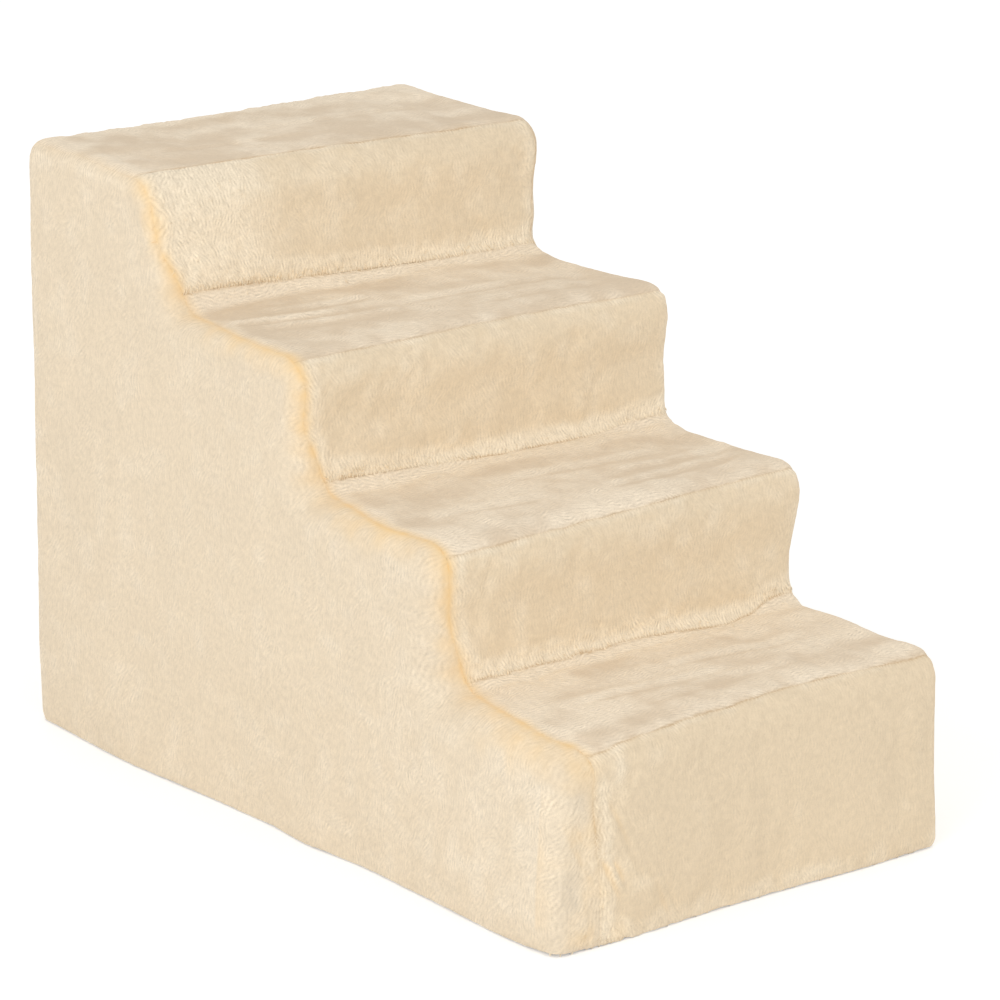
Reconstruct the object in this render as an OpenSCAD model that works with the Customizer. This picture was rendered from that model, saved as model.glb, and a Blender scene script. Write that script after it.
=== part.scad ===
/* [Steps] */
// Width of the stairs across the treads
stairs_w = 400; // [320:5:560]
// Height of the first tread above the floor
rise_1 = 166; // [120:1:220]
// Height of the second tread above the first
rise_2 = 121; // [90:1:180]
// Height of the third tread above the second
rise_3 = 116; // [90:1:180]
// Height of the fourth tread above the third
rise_4 = 116; // [90:1:180]
// Depth of the first tread, front to back
depth_1 = 168; // [130:1:240]
// Depth of the second tread
depth_2 = 173; // [130:1:240]
// Depth of the third tread
depth_3 = 177; // [130:1:240]
// Depth of the fourth tread
depth_4 = 188; // [130:1:260]

/* [Cover] */
// Thickness of the plush, backing and pile together
plush_t = 5; // [4.8:0.1:7]
// Radius of the soft nose of each step
nose_r = 26; // [16:1:34]
// Radius where a riser turns into the tread below it
inner_r = 16; // [8:1:26]
// Radius of the edges where the side panels meet the steps
side_r = 12; // [8:0.5:15]
// Radius of the top edge at the back
back_r = 16; // [15:1:30]
// How far each upper riser is drawn in between nose and inner corner
riser_pinch = 4; // [0:0.5:8]

/* [Base] */
// Thickness of the base fabric
base_t = 2.2; // [1:0.1:4]
// Height of the grip dots below the base fabric
dot_h = 0.8; // [0.4:0.1:2]
// Radius of one grip dot
dot_r = 4; // [2:0.5:8]
// Distance from one grip dot to the next
dot_pitch = 40; // [25:1:60]
// Bare edge round the field of grip dots
dot_margin = 24; // [16:1:50]

/* [Zip] */
// Distance from the side of the stairs to the middle of the zip
zip_inset = 37; // [30:1:70]
// Distance from the top of the stairs to the middle of the zip
zip_drop = 41; // [36:1:80]
// Radius of the zip's two upper corners
zip_corner_r = 40; // [25:1:70]
// Height of the zip's lower ends above the floor
zip_end_z = 24; // [12:1:60]
// Width of the gap in the plush that the zip lies in
zip_gap_w = 15; // [12:0.5:18]
// Depth of the coil rows below the face of the plush
coil_sink = 0.9; // [0.7:0.1:1.1]
// Width of one coil row
coil_w = 2.2; // [1.5:0.1:3]
// Thickness of a coil row
coil_t = 1.6; // [1.2:0.1:1.7]
// Slit between the two coil rows, where the slider's post runs
coil_slit = 1.4; // [1.2:0.1:2]
// Thickness of the zip's tapes
tape_t = 0.6; // [0.3:0.1:0.7]
// Height of the end stops along the zip
stop_l = 3; // [2:0.5:6]
// How far an end stop stands up from the coil rows
stop_t = 0.6; // [0.4:0.1:0.8]

/* [Slider and pull tab] */
// Length of the slider along the zip
slider_l = 12; // [9:0.5:18]
// Width of the slider
slider_w = 9; // [8:0.5:11]
// Thickness of the slider's two plates
plate_t = 1; // [0.8:0.1:1.1]
// Running clearance round the slider and its pull tab
run_clear = 0.3; // [0.2:0.05:0.35]
// Radius of the bar that the pull tab swings on
bar_r = 0.9; // [0.7:0.1:1.2]
// Clearance between the bar and the pull tab's eye
eye_clear = 0.1; // [0.05:0.01:0.15]
// Wall of the pull tab's eye
eye_wall = 0.8; // [0.6:0.1:1.2]
// Width of the pull tab at its eye
tab_neck_w = 4; // [3:0.5:5]
// Width of the pull tab's grip
tab_w = 7; // [5:0.5:9]
// Length of the pull tab from its bar to the end of its grip
tab_l = 24; // [18:1:30]
// Thickness of the pull tab
tab_t = 1.2; // [0.8:0.1:1.6]
// Radius of the hole in the pull tab's grip
tab_hole_r = 1.8; // [1:0.1:2.2]
// Width of each lug that holds the bar
lug_w = 1; // [0.8:0.1:1.5]

/* [Hidden] */
$fn = 48;

plush_color = [0.93, 0.86, 0.75];
foam_color = [0.96, 0.95, 0.90];
base_color = [0.80, 0.72, 0.60];
zip_color = [0.88, 0.80, 0.68];
metal_color = [0.70, 0.66, 0.58];

// Overrun of cuts past the faces they open
over = 1;
// Angle along an edge's arc at which two panels are sewn together
seam_angle = 45;
nose_pieces = 4;
inner_pieces = 3;
riser_pieces = 6;
side_angles = [seam_angle, (seam_angle + 90) / 2, 90];

rises = [rise_1, rise_2, rise_3, rise_4];
depths = [depth_1, depth_2, depth_3, depth_4];
last = len(rises) - 1;
stairs_l = depth_1 + depth_2 + depth_3 + depth_4;
stairs_h = rise_1 + rise_2 + rise_3 + rise_4;
base_top = dot_h + base_t;

// The slider's plates lie above and below the coil rows, and its bar stands clear of the upper plate
plate_out = plate_t + run_clear - coil_sink;
eye_r = bar_r + eye_clear + eye_wall;
bar_out = plate_out + run_clear + eye_r;
zip_proud = bar_out + eye_r;

// The origin is under the middle of everything, with the slider and its bar counted
front_y = -(stairs_l + zip_proud) / 2;
back_y = front_y + stairs_l;
middle_y = (front_y + back_y) / 2;

zip_x = stairs_w / 2 - zip_inset;
zip_top = stairs_h - zip_drop;
coil_edge = coil_slit / 2 + coil_w;
tape_sink = coil_sink + coil_t;
slider_z = zip_end_z + stop_l + run_clear + slider_l / 2;

function sum_to(list, n) = n < 0 ? 0 : list[n] + sum_to(list, n - 1);
function step_y(i) = front_y + sum_to(depths, i - 1);
function step_z(i) = sum_to(rises, i);
function rest_of(list) = [for (k = [1 : len(list) - 1]) list[k]];

// Arcs of the stairs' outline, as [y, z] points that lie "sink" inside the plush face
function nose_arc(i, sink, from, to) = [
    for (k = [0 : nose_pieces])
        let (a = from + (to - from) * k / nose_pieces)
            [step_y(i) + nose_r - (nose_r - sink) * cos(a), step_z(i) - nose_r + (nose_r - sink) * sin(a)]
];
function inner_arc(i, sink, from, to) = [
    for (k = [0 : inner_pieces])
        let (a = from + (to - from) * k / inner_pieces)
            [step_y(i) - inner_r + (inner_r + sink) * sin(a), step_z(i - 1) + inner_r - (inner_r + sink) * cos(a)]
];
function back_arc(sink, from, to) = [
    for (k = [0 : inner_pieces])
        let (a = from + (to - from) * k / inner_pieces)
            [back_y - back_r + (back_r - sink) * cos(a), stairs_h - back_r + (back_r - sink) * sin(a)]
];

// The straight of an upper riser, drawn in smoothly between its two ends. The first riser is flat
function riser_straight(i, sink) = i == 0 ? [] :
    let (low = step_z(i - 1) + inner_r, high = step_z(i) - nose_r)
        [for (k = [1 : riser_pieces - 1])
            let (t = k / riser_pieces)
                [step_y(i) + sink + riser_pinch * (1 - cos(360 * t)) / 2, low + (high - low) * t]];

function riser_line(i, sink) = concat(
    i == 0 ? [[front_y + sink, base_top]] : inner_arc(i, sink, seam_angle, 90),
    riser_straight(i, sink),
    nose_arc(i, sink, 0, seam_angle)
);
function tread_line(i, sink) = concat(
    nose_arc(i, sink, seam_angle, 90),
    i == last ? back_arc(sink, 90, seam_angle) : inner_arc(i + 1, sink, 0, seam_angle)
);
function back_line(sink) = concat(back_arc(sink, seam_angle, 0), [[back_y - sink, base_top]]);
function stairs_line(sink) = concat(
    [for (i = [0 : last]) each concat(i == 0 ? riser_line(i, sink) : rest_of(riser_line(i, sink)),
        rest_of(tread_line(i, sink)))],
    rest_of(back_line(sink))
);

// How far a point at angle "a" of the side edge lies in from the side and in from the outline
function edge_in(a, sink) = side_r - (side_r - sink) * cos(a);
function edge_down(a, sink) = side_r - (side_r - sink) * sin(a);
function at_x(x, line) = [for (p = line) [x, p[0], p[1]]];

// A curved panel between a grid of outer points and a grid of inner points
module grid_solid(outer, inner) {
    rows = len(outer);
    cols = len(outer[0]);
    o = function(i, j) i * cols + j;
    n = function(i, j) rows * cols + i * cols + j;
    quad = function(a, b, c, d) [[a, b, c], [a, c, d]];
    faces = [
        for (i = [0 : rows - 2], j = [0 : cols - 2]) each quad(o(i, j), o(i, j + 1), o(i + 1, j + 1), o(i + 1, j)),
        for (i = [0 : rows - 2], j = [0 : cols - 2]) each quad(n(i, j), n(i + 1, j), n(i + 1, j + 1), n(i, j + 1)),
        for (i = [0 : rows - 2]) each quad(o(i, 0), o(i + 1, 0), n(i + 1, 0), n(i, 0)),
        for (i = [0 : rows - 2], j = [cols - 1]) each quad(o(i + 1, j), o(i, j), n(i, j), n(i + 1, j)),
        for (j = [0 : cols - 2]) each quad(o(0, j), n(0, j), n(0, j + 1), o(0, j + 1)),
        for (j = [0 : cols - 2], i = [rows - 1]) each quad(o(i, j), o(i, j + 1), n(i, j + 1), n(i, j))
    ];
    polyhedron([each [for (row = outer) each row], each [for (row = inner) each row]], faces);
}

// A panel that runs across the stairs and turns down over both side edges to its seams
module cross_panel(line) {
    stations = [
        for (a = side_angles) [-1, a],
        for (k = [len(side_angles) - 1 : -1 : 0]) [1, side_angles[k]]
    ];
    sheet = function(sink) [
        for (s = stations) at_x(s[0] * (stairs_w / 2 - edge_in(s[1], sink)), line(edge_down(s[1], sink)))
    ];
    grid_solid(sheet(0), sheet(plush_t));
}

// A panel that covers the left side, flat in the middle, and turns over its edge to the seam
module side_panel() {
    angles = [0, seam_angle / 2, seam_angle];
    edge = function(sink) [for (a = angles) at_x(edge_in(a, sink) - stairs_w / 2, stairs_line(edge_down(a, sink)))];
    translate([-stairs_w / 2, 0, 0]) rotate([90, 0, 90]) linear_extrude(plush_t) polygon(stairs_line(side_r));
    grid_solid(edge(0), edge(plush_t));
}

// A foam slab: its section, pulled in by "inset" at the front, the top and the back
function foam_section(i, inset) =
    let (
        low = i == 0 ? base_top : step_z(i - 1) - plush_t,
        high = step_z(i) - plush_t,
        front = step_y(i) + plush_t + (i == 0 ? 0 : riser_pinch),
        back = back_y - plush_t,
        r = nose_r - plush_t,
        top_r = back_r - plush_t
    ) concat(
        [[front + inset, low]],
        [for (k = [0 : nose_pieces])
            let (a = 90 * k / nose_pieces) [front + r - (r - inset) * cos(a), high - r + (r - inset) * sin(a)]],
        i < last ? [[back - inset, high - inset]]
            : [for (k = [inner_pieces : -1 : 0])
                let (a = 90 * k / inner_pieces)
                    [back - top_r + (top_r - inset) * cos(a), high - top_r + (top_r - inset) * sin(a)]],
        [[back - inset, low]]
    );

module foam_layer(i, half_w, inset) {
    translate([-half_w, 0, 0]) rotate([90, 0, 90]) linear_extrude(2 * half_w) polygon(foam_section(i, inset));
}

module foam_slab(i) {
    color(foam_color) hull() {
        foam_layer(i, stairs_w / 2 - side_r, 0);
        foam_layer(i, stairs_w / 2 - plush_t, side_r - plush_t);
    }
}

module riser_panel(i) {
    color(plush_color) cross_panel(function(sink) riser_line(i, sink));
}

module tread_panel(i) {
    color(plush_color) cross_panel(function(sink) tread_line(i, sink));
}

module left_side_panel() {
    color(plush_color) side_panel();
}

module right_side_panel() {
    color(plush_color) mirror([1, 0, 0]) side_panel();
}

// A flat layer of the back, "sink" below the face of the plush and "thick" deep
module back_layer(sink, thick) {
    translate([0, back_y - sink, 0]) rotate([90, 0, 0]) linear_extrude(thick) children();
}

// The area inside the zip's path, widened by "grow" and open down to "low"
module zip_area(grow, low) {
    half_w = zip_x + grow;
    top = zip_top + grow;
    r = zip_corner_r + grow;
    translate([-half_w, low]) square([2 * half_w, top - r - low]);
    translate([r - half_w, low]) square([2 * (half_w - r), top - low]);
    for (side = [-1, 1]) translate([side * (half_w - r), top - r]) circle(r);
}

// A band along the zip's path
module zip_band(inside, outside) {
    difference() {
        zip_area(outside, zip_end_z);
        zip_area(inside, zip_end_z - over);
    }
}

module back_border() {
    color(plush_color) difference() {
        cross_panel(function(sink) back_line(sink));
        back_layer(-over, plush_t + 2 * over) zip_area(zip_gap_w / 2, base_top - over);
    }
}

// The flap inside the zip, with a foot under each end of the zip
module back_flap() {
    color(plush_color) back_layer(0, plush_t) {
        zip_area(-zip_gap_w / 2, base_top);
        translate([-zip_x - zip_gap_w / 2, base_top]) square([2 * zip_x + zip_gap_w, zip_end_z - base_top]);
    }
}

module base_panel() {
    across = floor((stairs_w / 2 - dot_margin) / dot_pitch);
    along = floor((stairs_l / 2 - dot_margin) / dot_pitch);
    color(base_color) translate([0, middle_y, 0]) {
        translate([0, 0, dot_h]) linear_extrude(base_t) {
            square([stairs_w - 2 * side_r, stairs_l], center = true);
            square([stairs_w, stairs_l - 2 * side_r], center = true);
            for (sx = [-1, 1], sy = [-1, 1])
                translate([sx * (stairs_w / 2 - side_r), sy * (stairs_l / 2 - side_r)]) circle(side_r);
        }
        for (ix = [-across : across], iy = [-along : along])
            translate([ix * dot_pitch, iy * dot_pitch, 0]) cylinder(r = dot_r, h = base_top / 2);
    }
}

module zip_tape_outer() {
    color(zip_color) back_layer(tape_sink, tape_t) zip_band(coil_slit / 2, zip_gap_w / 2);
}

module zip_tape_inner() {
    color(zip_color) back_layer(tape_sink, tape_t) zip_band(-zip_gap_w / 2, -coil_slit / 2);
}

module zip_coil_outer() {
    color(zip_color) back_layer(coil_sink, coil_t) zip_band(coil_slit / 2, coil_edge);
}

module zip_coil_inner() {
    color(zip_color) back_layer(coil_sink, coil_t) zip_band(-coil_edge, -coil_slit / 2);
}

// One clip on each end of the zip: a bar across both coil rows with a stem in the slit
module zip_end_stops() {
    color(metal_color) for (side = [-1, 1]) {
        back_layer(coil_sink - stop_t, stop_t)
            translate([side * zip_x - coil_edge, zip_end_z]) square([2 * coil_edge, stop_l]);
        back_layer(coil_sink - stop_t / 2, coil_t + stop_t / 2)
            translate([side * zip_x - coil_slit / 2, zip_end_z]) square([coil_slit, stop_l]);
    }
}

module slider_plate() {
    translate([zip_x - slider_w / 2, slider_z - slider_l / 2]) square([slider_w, slider_l - slider_w / 2]);
    translate([zip_x, slider_z + slider_l / 2 - slider_w / 2]) circle(slider_w / 2);
}

module across_bar(half_w, r) {
    translate([zip_x - half_w, back_y + bar_out, slider_z]) rotate([0, 90, 0]) cylinder(r = r, h = 2 * half_w);
}

module zip_slider() {
    lug_in = tab_neck_w / 2 + run_clear;
    post_w = coil_slit - 2 * run_clear;
    room = coil_t + tape_t + 2 * run_clear;
    color(metal_color) {
        back_layer(-plate_out, plate_t) slider_plate();
        back_layer(coil_sink - run_clear + room, plate_t) slider_plate();
        back_layer(coil_sink - run_clear - plate_t / 2, room + plate_t)
            translate([zip_x - post_w / 2, slider_z - slider_l / 2]) square([post_w, slider_l / 2]);
        across_bar(lug_in + lug_w / 2, bar_r);
        for (side = [-1, 1]) translate([side * (lug_in + lug_w / 2), 0, 0]) {
            across_bar(lug_w / 2, eye_r);
            translate([zip_x - lug_w / 2, back_y + plate_out - plate_t / 2, slider_z - eye_r])
                cube([lug_w, bar_out - plate_out + plate_t / 2, 2 * eye_r]);
        }
    }
}

module zip_pull_tab() {
    grip_l = tab_l - 2 * eye_r - tab_w / 2;
    color(metal_color) difference() {
        union() {
            across_bar(tab_neck_w / 2, eye_r);
            back_layer(-bar_out - tab_t / 2, tab_t) difference() {
                union() {
                    translate([zip_x - tab_neck_w / 2, slider_z - tab_l / 2]) square([tab_neck_w, tab_l / 2]);
                    translate([zip_x - tab_w / 2, slider_z - tab_l + tab_w / 2]) square([tab_w, grip_l]);
                    translate([zip_x, slider_z - tab_l + tab_w / 2]) circle(tab_w / 2);
                }
                translate([zip_x, slider_z - tab_l + tab_w / 2]) circle(tab_hole_r);
            }
        }
        across_bar(tab_neck_w / 2 + over, bar_r + eye_clear);
    }
}

foam_slab(0);  // foam_slab_1
foam_slab(1);  // foam_slab_2
foam_slab(2);  // foam_slab_3
foam_slab(3);  // foam_slab_4
riser_panel(0);  // riser_panel_1
riser_panel(1);  // riser_panel_2
riser_panel(2);  // riser_panel_3
riser_panel(3);  // riser_panel_4
tread_panel(0);  // tread_panel_1
tread_panel(1);  // tread_panel_2
tread_panel(2);  // tread_panel_3
tread_panel(3);  // tread_panel_4
left_side_panel();
right_side_panel();
back_border();
back_flap();
base_panel();
zip_tape_outer();
zip_tape_inner();
zip_coil_outer();
zip_coil_inner();
zip_end_stops();
zip_slider();
zip_pull_tab();
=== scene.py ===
import math

import bpy
import numpy as np
from mathutils import Matrix, Vector


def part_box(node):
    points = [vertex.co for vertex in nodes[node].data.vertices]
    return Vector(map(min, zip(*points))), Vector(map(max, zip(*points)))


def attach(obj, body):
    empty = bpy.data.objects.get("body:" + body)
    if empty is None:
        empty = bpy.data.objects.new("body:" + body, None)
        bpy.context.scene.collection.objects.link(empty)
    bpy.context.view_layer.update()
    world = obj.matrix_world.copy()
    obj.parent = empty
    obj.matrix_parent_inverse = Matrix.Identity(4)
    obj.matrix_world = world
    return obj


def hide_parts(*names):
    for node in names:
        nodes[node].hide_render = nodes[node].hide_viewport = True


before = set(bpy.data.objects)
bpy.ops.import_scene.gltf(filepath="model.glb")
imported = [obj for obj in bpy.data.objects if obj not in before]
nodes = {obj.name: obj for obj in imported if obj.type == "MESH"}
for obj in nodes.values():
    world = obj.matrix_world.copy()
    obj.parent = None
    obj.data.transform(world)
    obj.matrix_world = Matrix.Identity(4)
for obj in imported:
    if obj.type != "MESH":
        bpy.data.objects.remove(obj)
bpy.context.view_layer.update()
mm = 0.001


# shader nodes in one line each

def setInputs(tree, node, values):
    for key, value in values.items():
        if isinstance(value, bpy.types.NodeSocket):
            tree.links.new(value, node.inputs[key])
        else:
            node.inputs[key].default_value = value


def addNode(tree, kind, inputs=None, **settings):
    node = tree.nodes.new(kind)
    for key, value in settings.items():
        setattr(node, key, value)
    setInputs(tree, node, inputs or {})
    return node


def addMath(tree, operation, a, b=0.0):
    return addNode(tree, "ShaderNodeMath", {0: a, 1: b}, operation=operation).outputs[0]


def addSum(tree, a, b):
    return addMath(tree, "ADD", a, b)


def addProduct(tree, a, b):
    return addMath(tree, "MULTIPLY", a, b)


def addMix(tree, share, a, b, blend="MIX"):
    inputs = {0: share, 6: a, 7: b}
    return addNode(tree, "ShaderNodeMix", inputs, data_type="RGBA", blend_type=blend).outputs[2]


def addNoise(tree, vector, scale, detail=2.0):
    inputs = {"Vector": vector, "Scale": scale, "Detail": detail}
    return addNode(tree, "ShaderNodeTexNoise", inputs).outputs["Fac"]


def addRange(tree, value, low, high, toLow, toHigh):
    inputs = {0: value, 1: low, 2: high, 3: toLow, 4: toHigh}
    return addNode(tree, "ShaderNodeMapRange", inputs, interpolation_type="SMOOTHSTEP").outputs[0]


def addFit(tree, value, factor, plus):
    inputs = {0: value, 1: factor, 2: plus}
    return addNode(tree, "ShaderNodeMath", inputs, operation="MULTIPLY_ADD").outputs[0]


def addSwing(tree, value, amount):
    # a noise from 0 to 1, turned to swing round zero
    return addProduct(tree, addMath(tree, "SUBTRACT", value, 0.5), amount)


# camera, light and floor

cameraSetup = {
    "place": (-2.600, -3.125, 1.525),
    "azimuth": 40.07,  # 0 looks along +Y
    "down": 17.43,
    "roll": 0.73,
    "lens": 182.6,
}
lightSetup = {
    "sky": 0.80,
    "skyTone": (1.0, 0.985, 0.965),
    "key": 34.0,
    "keyPlace": (-3.3, -1.2, 1.5),
    "keySize": 2.6,
    "front": 8.0,
    "frontPlace": (1.2, -3.2, 1.3),
    "frontSize": 2.4,
}
floorLook = {
    "Base Color": (0.93, 0.93, 0.93, 1),
    "Roughness": 0.9,
    "Specular IOR Level": 0.1,
    "Emission Color": (1, 1, 1, 1),
}
floorLift = 0.3  # light that only the camera sees, which keeps the floor white


def addObject(name, data):
    made = bpy.data.objects.new(name, data)
    bpy.context.scene.collection.objects.link(made)
    return made


def addCamera():
    data = bpy.data.cameras.new("camera")
    data.lens = cameraSetup["lens"]
    data.sensor_width = 36
    data.clip_end = 60
    camera = addObject("camera", data)
    a, e = math.radians(cameraSetup["azimuth"]), math.radians(cameraSetup["down"])
    look = Vector((math.sin(a) * math.cos(e), math.cos(a) * math.cos(e), -math.sin(e)))
    turn = look.to_track_quat("-Z", "Y").to_matrix().to_4x4()
    roll = Matrix.Rotation(math.radians(cameraSetup["roll"]), 4, "Z")
    camera.matrix_world = Matrix.Translation(cameraSetup["place"]) @ turn @ roll
    bpy.context.scene.camera = camera


def addLamp(name, place, size, power, target):
    data = bpy.data.lights.new(name, "AREA")
    data.shape = "DISK"
    data.size = size
    data.energy = power
    lamp = addObject(name, data)
    lamp.location = place
    lamp.rotation_euler = (Vector(target) - Vector(place)).to_track_quat("-Z", "Y").to_euler()


def addSky():
    world = bpy.data.worlds.new("sky")
    bpy.context.scene.world = world
    world.use_nodes = True
    tree = world.node_tree
    tree.nodes.clear()
    tone = (*lightSetup["skyTone"], 1)
    light = addNode(tree, "ShaderNodeBackground", {"Color": tone, "Strength": lightSetup["sky"]})
    white = addNode(tree, "ShaderNodeBackground", {"Color": (1, 1, 1, 1), "Strength": 1.0})
    path = addNode(tree, "ShaderNodeLightPath")
    seen = addMath(tree, "MAXIMUM", path.outputs["Is Camera Ray"], path.outputs["Is Glossy Ray"])
    mix = addNode(tree, "ShaderNodeMixShader", {0: seen, 1: light.outputs[0], 2: white.outputs[0]})
    addNode(tree, "ShaderNodeOutputWorld", {"Surface": mix.outputs[0]})


def addFloor():
    bpy.ops.mesh.primitive_plane_add(size=40, location=(0, 0, 0))
    floor = bpy.context.object
    floor.name = "floor"
    material = bpy.data.materials.new("paleFloor")
    material.use_nodes = True
    tree = material.node_tree
    shader = tree.nodes["Principled BSDF"]
    seen = addNode(tree, "ShaderNodeLightPath").outputs["Is Camera Ray"]
    setInputs(tree, shader, {**floorLook, "Emission Strength": addProduct(tree, seen, floorLift)})
    floor.data.materials.append(material)


addCamera()
addSky()
addLamp("keyLamp", lightSetup["keyPlace"], lightSetup["keySize"], lightSetup["key"], (0, 0, 0.25))
addLamp("frontLamp", lightSetup["frontPlace"], lightSetup["frontSize"], lightSetup["front"], (0, 0, 0.2))
addFloor()
bpy.context.scene.view_settings.view_transform = "Standard"
print("camera, light and floor are in place")


# small helpers

def ramp(t, start, end):
    t = np.clip((t - start) / (end - start), 0, 1)
    return t * t * (3 - 2 * t)


def hill(t, middle, width):
    return np.exp(-(((t - middle) / width) ** 2))


lattice = np.random.default_rng(11).random((64, 64, 64))


def onLine(s):
    return np.stack([s, s * 0, s * 0], -1)


def onPlane(flat):
    return np.column_stack([flat, flat[:, 0] * 0])


def fall(t, start, end):
    # from 1 down to 0 between two distances in mm
    return 1 - ramp(t, start * mm, end * mm)


def softNoise(points, size, seed=0):
    # smooth noise from -1 to 1, with lumps of the given size (one number, or one for each axis)
    p = np.asarray(points, float) / size + seed * 7.31
    cell = np.floor(p).astype(int)
    t = p - cell
    t = t * t * (3 - 2 * t)
    total = np.zeros(len(p))
    for i in (0, 1):
        for j in (0, 1):
            for k in (0, 1):
                weight = (
                    (t[:, 0] if i else 1 - t[:, 0])
                    * (t[:, 1] if j else 1 - t[:, 1])
                    * (t[:, 2] if k else 1 - t[:, 2])
                )
                total += weight * lattice[(cell[:, 0] + i) % 64, (cell[:, 1] + j) % 64, (cell[:, 2] + k) % 64]
    return total * 2 - 1


def deselectAll():
    for o in bpy.context.selected_objects:
        o.select_set(False)


def pick(piece):
    deselectAll()
    piece.select_set(True)
    bpy.context.view_layer.objects.active = piece


def readPoints(piece):
    co = np.zeros(len(piece.data.vertices) * 3, np.float32)
    piece.data.vertices.foreach_get("co", co)
    return co.reshape(-1, 3).astype(float)


def writePoints(piece, points):
    piece.data.vertices.foreach_set("co", np.asarray(points, np.float32).ravel())
    piece.data.update()


def writeAbove(piece, points, height):
    # keeps the points off the floor
    points[:, 2] = np.maximum(points[:, 2], height)
    writePoints(piece, points)


def readNormals(piece):
    co = np.zeros(len(piece.data.vertices) * 3, np.float32)
    piece.data.vertex_normals.foreach_get("vector", co)
    return co.reshape(-1, 3).astype(float)


def writeMask(piece, name, values):
    layer = piece.data.attributes.get(name) or piece.data.attributes.new(name, "FLOAT", "POINT")
    layer.data.foreach_set("value", np.asarray(values, np.float32))


def writeUv(piece, uv):
    corners = np.zeros(len(piece.data.loops), np.int32)
    piece.data.loops.foreach_get("vertex_index", corners)
    layer = piece.data.uv_layers.active or piece.data.uv_layers.new(name="UVMap")
    layer.data.foreach_set("uv", np.asarray(uv, np.float32)[corners].ravel())


def editWhole(piece, *steps):
    # edit-mode operators on the whole mesh
    pick(piece)
    bpy.ops.object.mode_set(mode="EDIT")
    bpy.ops.mesh.select_all(action="SELECT")
    for step in steps:
        step()
    bpy.ops.object.mode_set(mode="OBJECT")


def applyModifier(piece, kind, **settings):
    pick(piece)
    modifier = piece.modifiers.new(kind.lower(), kind)
    for key, value in settings.items():
        setattr(modifier, key, value)
    bpy.ops.object.modifier_apply(modifier=modifier.name)


# the outline of the stairs, from the hem in front over all steps to the hem at the back

cover = {
    "noseRound": 26 * mm,
    "innerRound": 16 * mm,
    "backRound": 16 * mm,
    "pinch": 4 * mm,
    "thick": 5 * mm,
    "hemHeight": 1.2 * mm,
}
stepY = [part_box(f"riser_panel_{i}")[0].y for i in (1, 2, 3, 4)]
stepZ = [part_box(f"tread_panel_{i}")[1].z for i in (1, 2, 3, 4)]
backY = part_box("back_flap")[1].y
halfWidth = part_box("right_side_panel")[1].x


def drawOutline():
    # rows of y, z and the direction that points into the stairs, and where each seam lies
    rows, marks = [], {}

    def addRow(y, z, inY, inZ):
        rows.append((y, z, inY, inZ))

    def length():
        p = np.array(rows)[:, :2]
        return float(np.sum(np.hypot(*np.diff(p, axis=0).T)))

    def addArc(name, y, z, radius, start, end, bulge):
        for k in range(17):
            a = math.radians(start + (end - start) * k / 16)
            dy, dz = math.cos(a), math.sin(a)
            addRow(y + radius * dy, z + radius * dz, -bulge * dy, -bulge * dz)
            if k == 8:
                marks[name] = length()

    def addStraight(y0, z0, y1, z1, inY, inZ, pinch=0.0):
        for k in range(1, 24):
            t = k / 24
            drawn = pinch * (1 - math.cos(2 * math.pi * t)) / 2
            addRow(y0 + (y1 - y0) * t + drawn * inY, z0 + (z1 - z0) * t + drawn * inZ, inY, inZ)

    nose, inner, back = cover["noseRound"], cover["innerRound"], cover["backRound"]
    addRow(stepY[0], cover["hemHeight"], 1, 0)
    marks["hem"] = 0.0
    for i in range(4):
        y, z = stepY[i], stepZ[i]
        low = cover["hemHeight"] if i == 0 else stepZ[i - 1] + inner
        if i:
            addArc(f"inner{i + 1}", y - inner, low, inner, -90, 0, -1)
        addStraight(y, low, y, z - nose, 1, 0, cover["pinch"] if i else 0)
        addArc(f"nose{i + 1}", y + nose, z - nose, nose, 180, 90, 1)
        end = stepY[i + 1] - inner if i < 3 else backY - back
        addStraight(y + nose, z, end, z, 0, -1)
    addArc("back", backY - back, stepZ[3] - back, back, 90, 0, 1)
    addStraight(backY, stepZ[3] - back, backY, cover["hemHeight"], -1, 0)
    addRow(backY, cover["hemHeight"], -1, 0)
    rows = np.array(rows)
    run = np.concatenate([[0], np.cumsum(np.hypot(*np.diff(rows[:, :2], axis=0).T))])
    marks["end"] = run[-1]
    return rows, run, marks


outlineRows, outlineRun, marks = drawOutline()


def outlineAt(s):
    return [np.interp(s, outlineRun, outlineRows[:, k]) for k in range(4)]


seamOrder = ("hem", "nose1", "inner2", "nose2", "inner3", "nose3", "inner4", "nose4", "back", "end")


def alongMarks(s, values):
    # values by place along the outline, blended smoothly: 0 is the hem in front, 1 the first nose,
    # 2 the inner corner behind it and so on to 9, the hem at the back. 1.3 is 0.3 of the way from 1 to 2
    at = np.interp(list(values), range(10), [marks[name] for name in seamOrder])
    s = np.asarray(s, float)
    return sum(np.interp(s + shift, at, list(values.values())) for shift in np.linspace(-9, 9, 7) * mm) / 7


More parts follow.
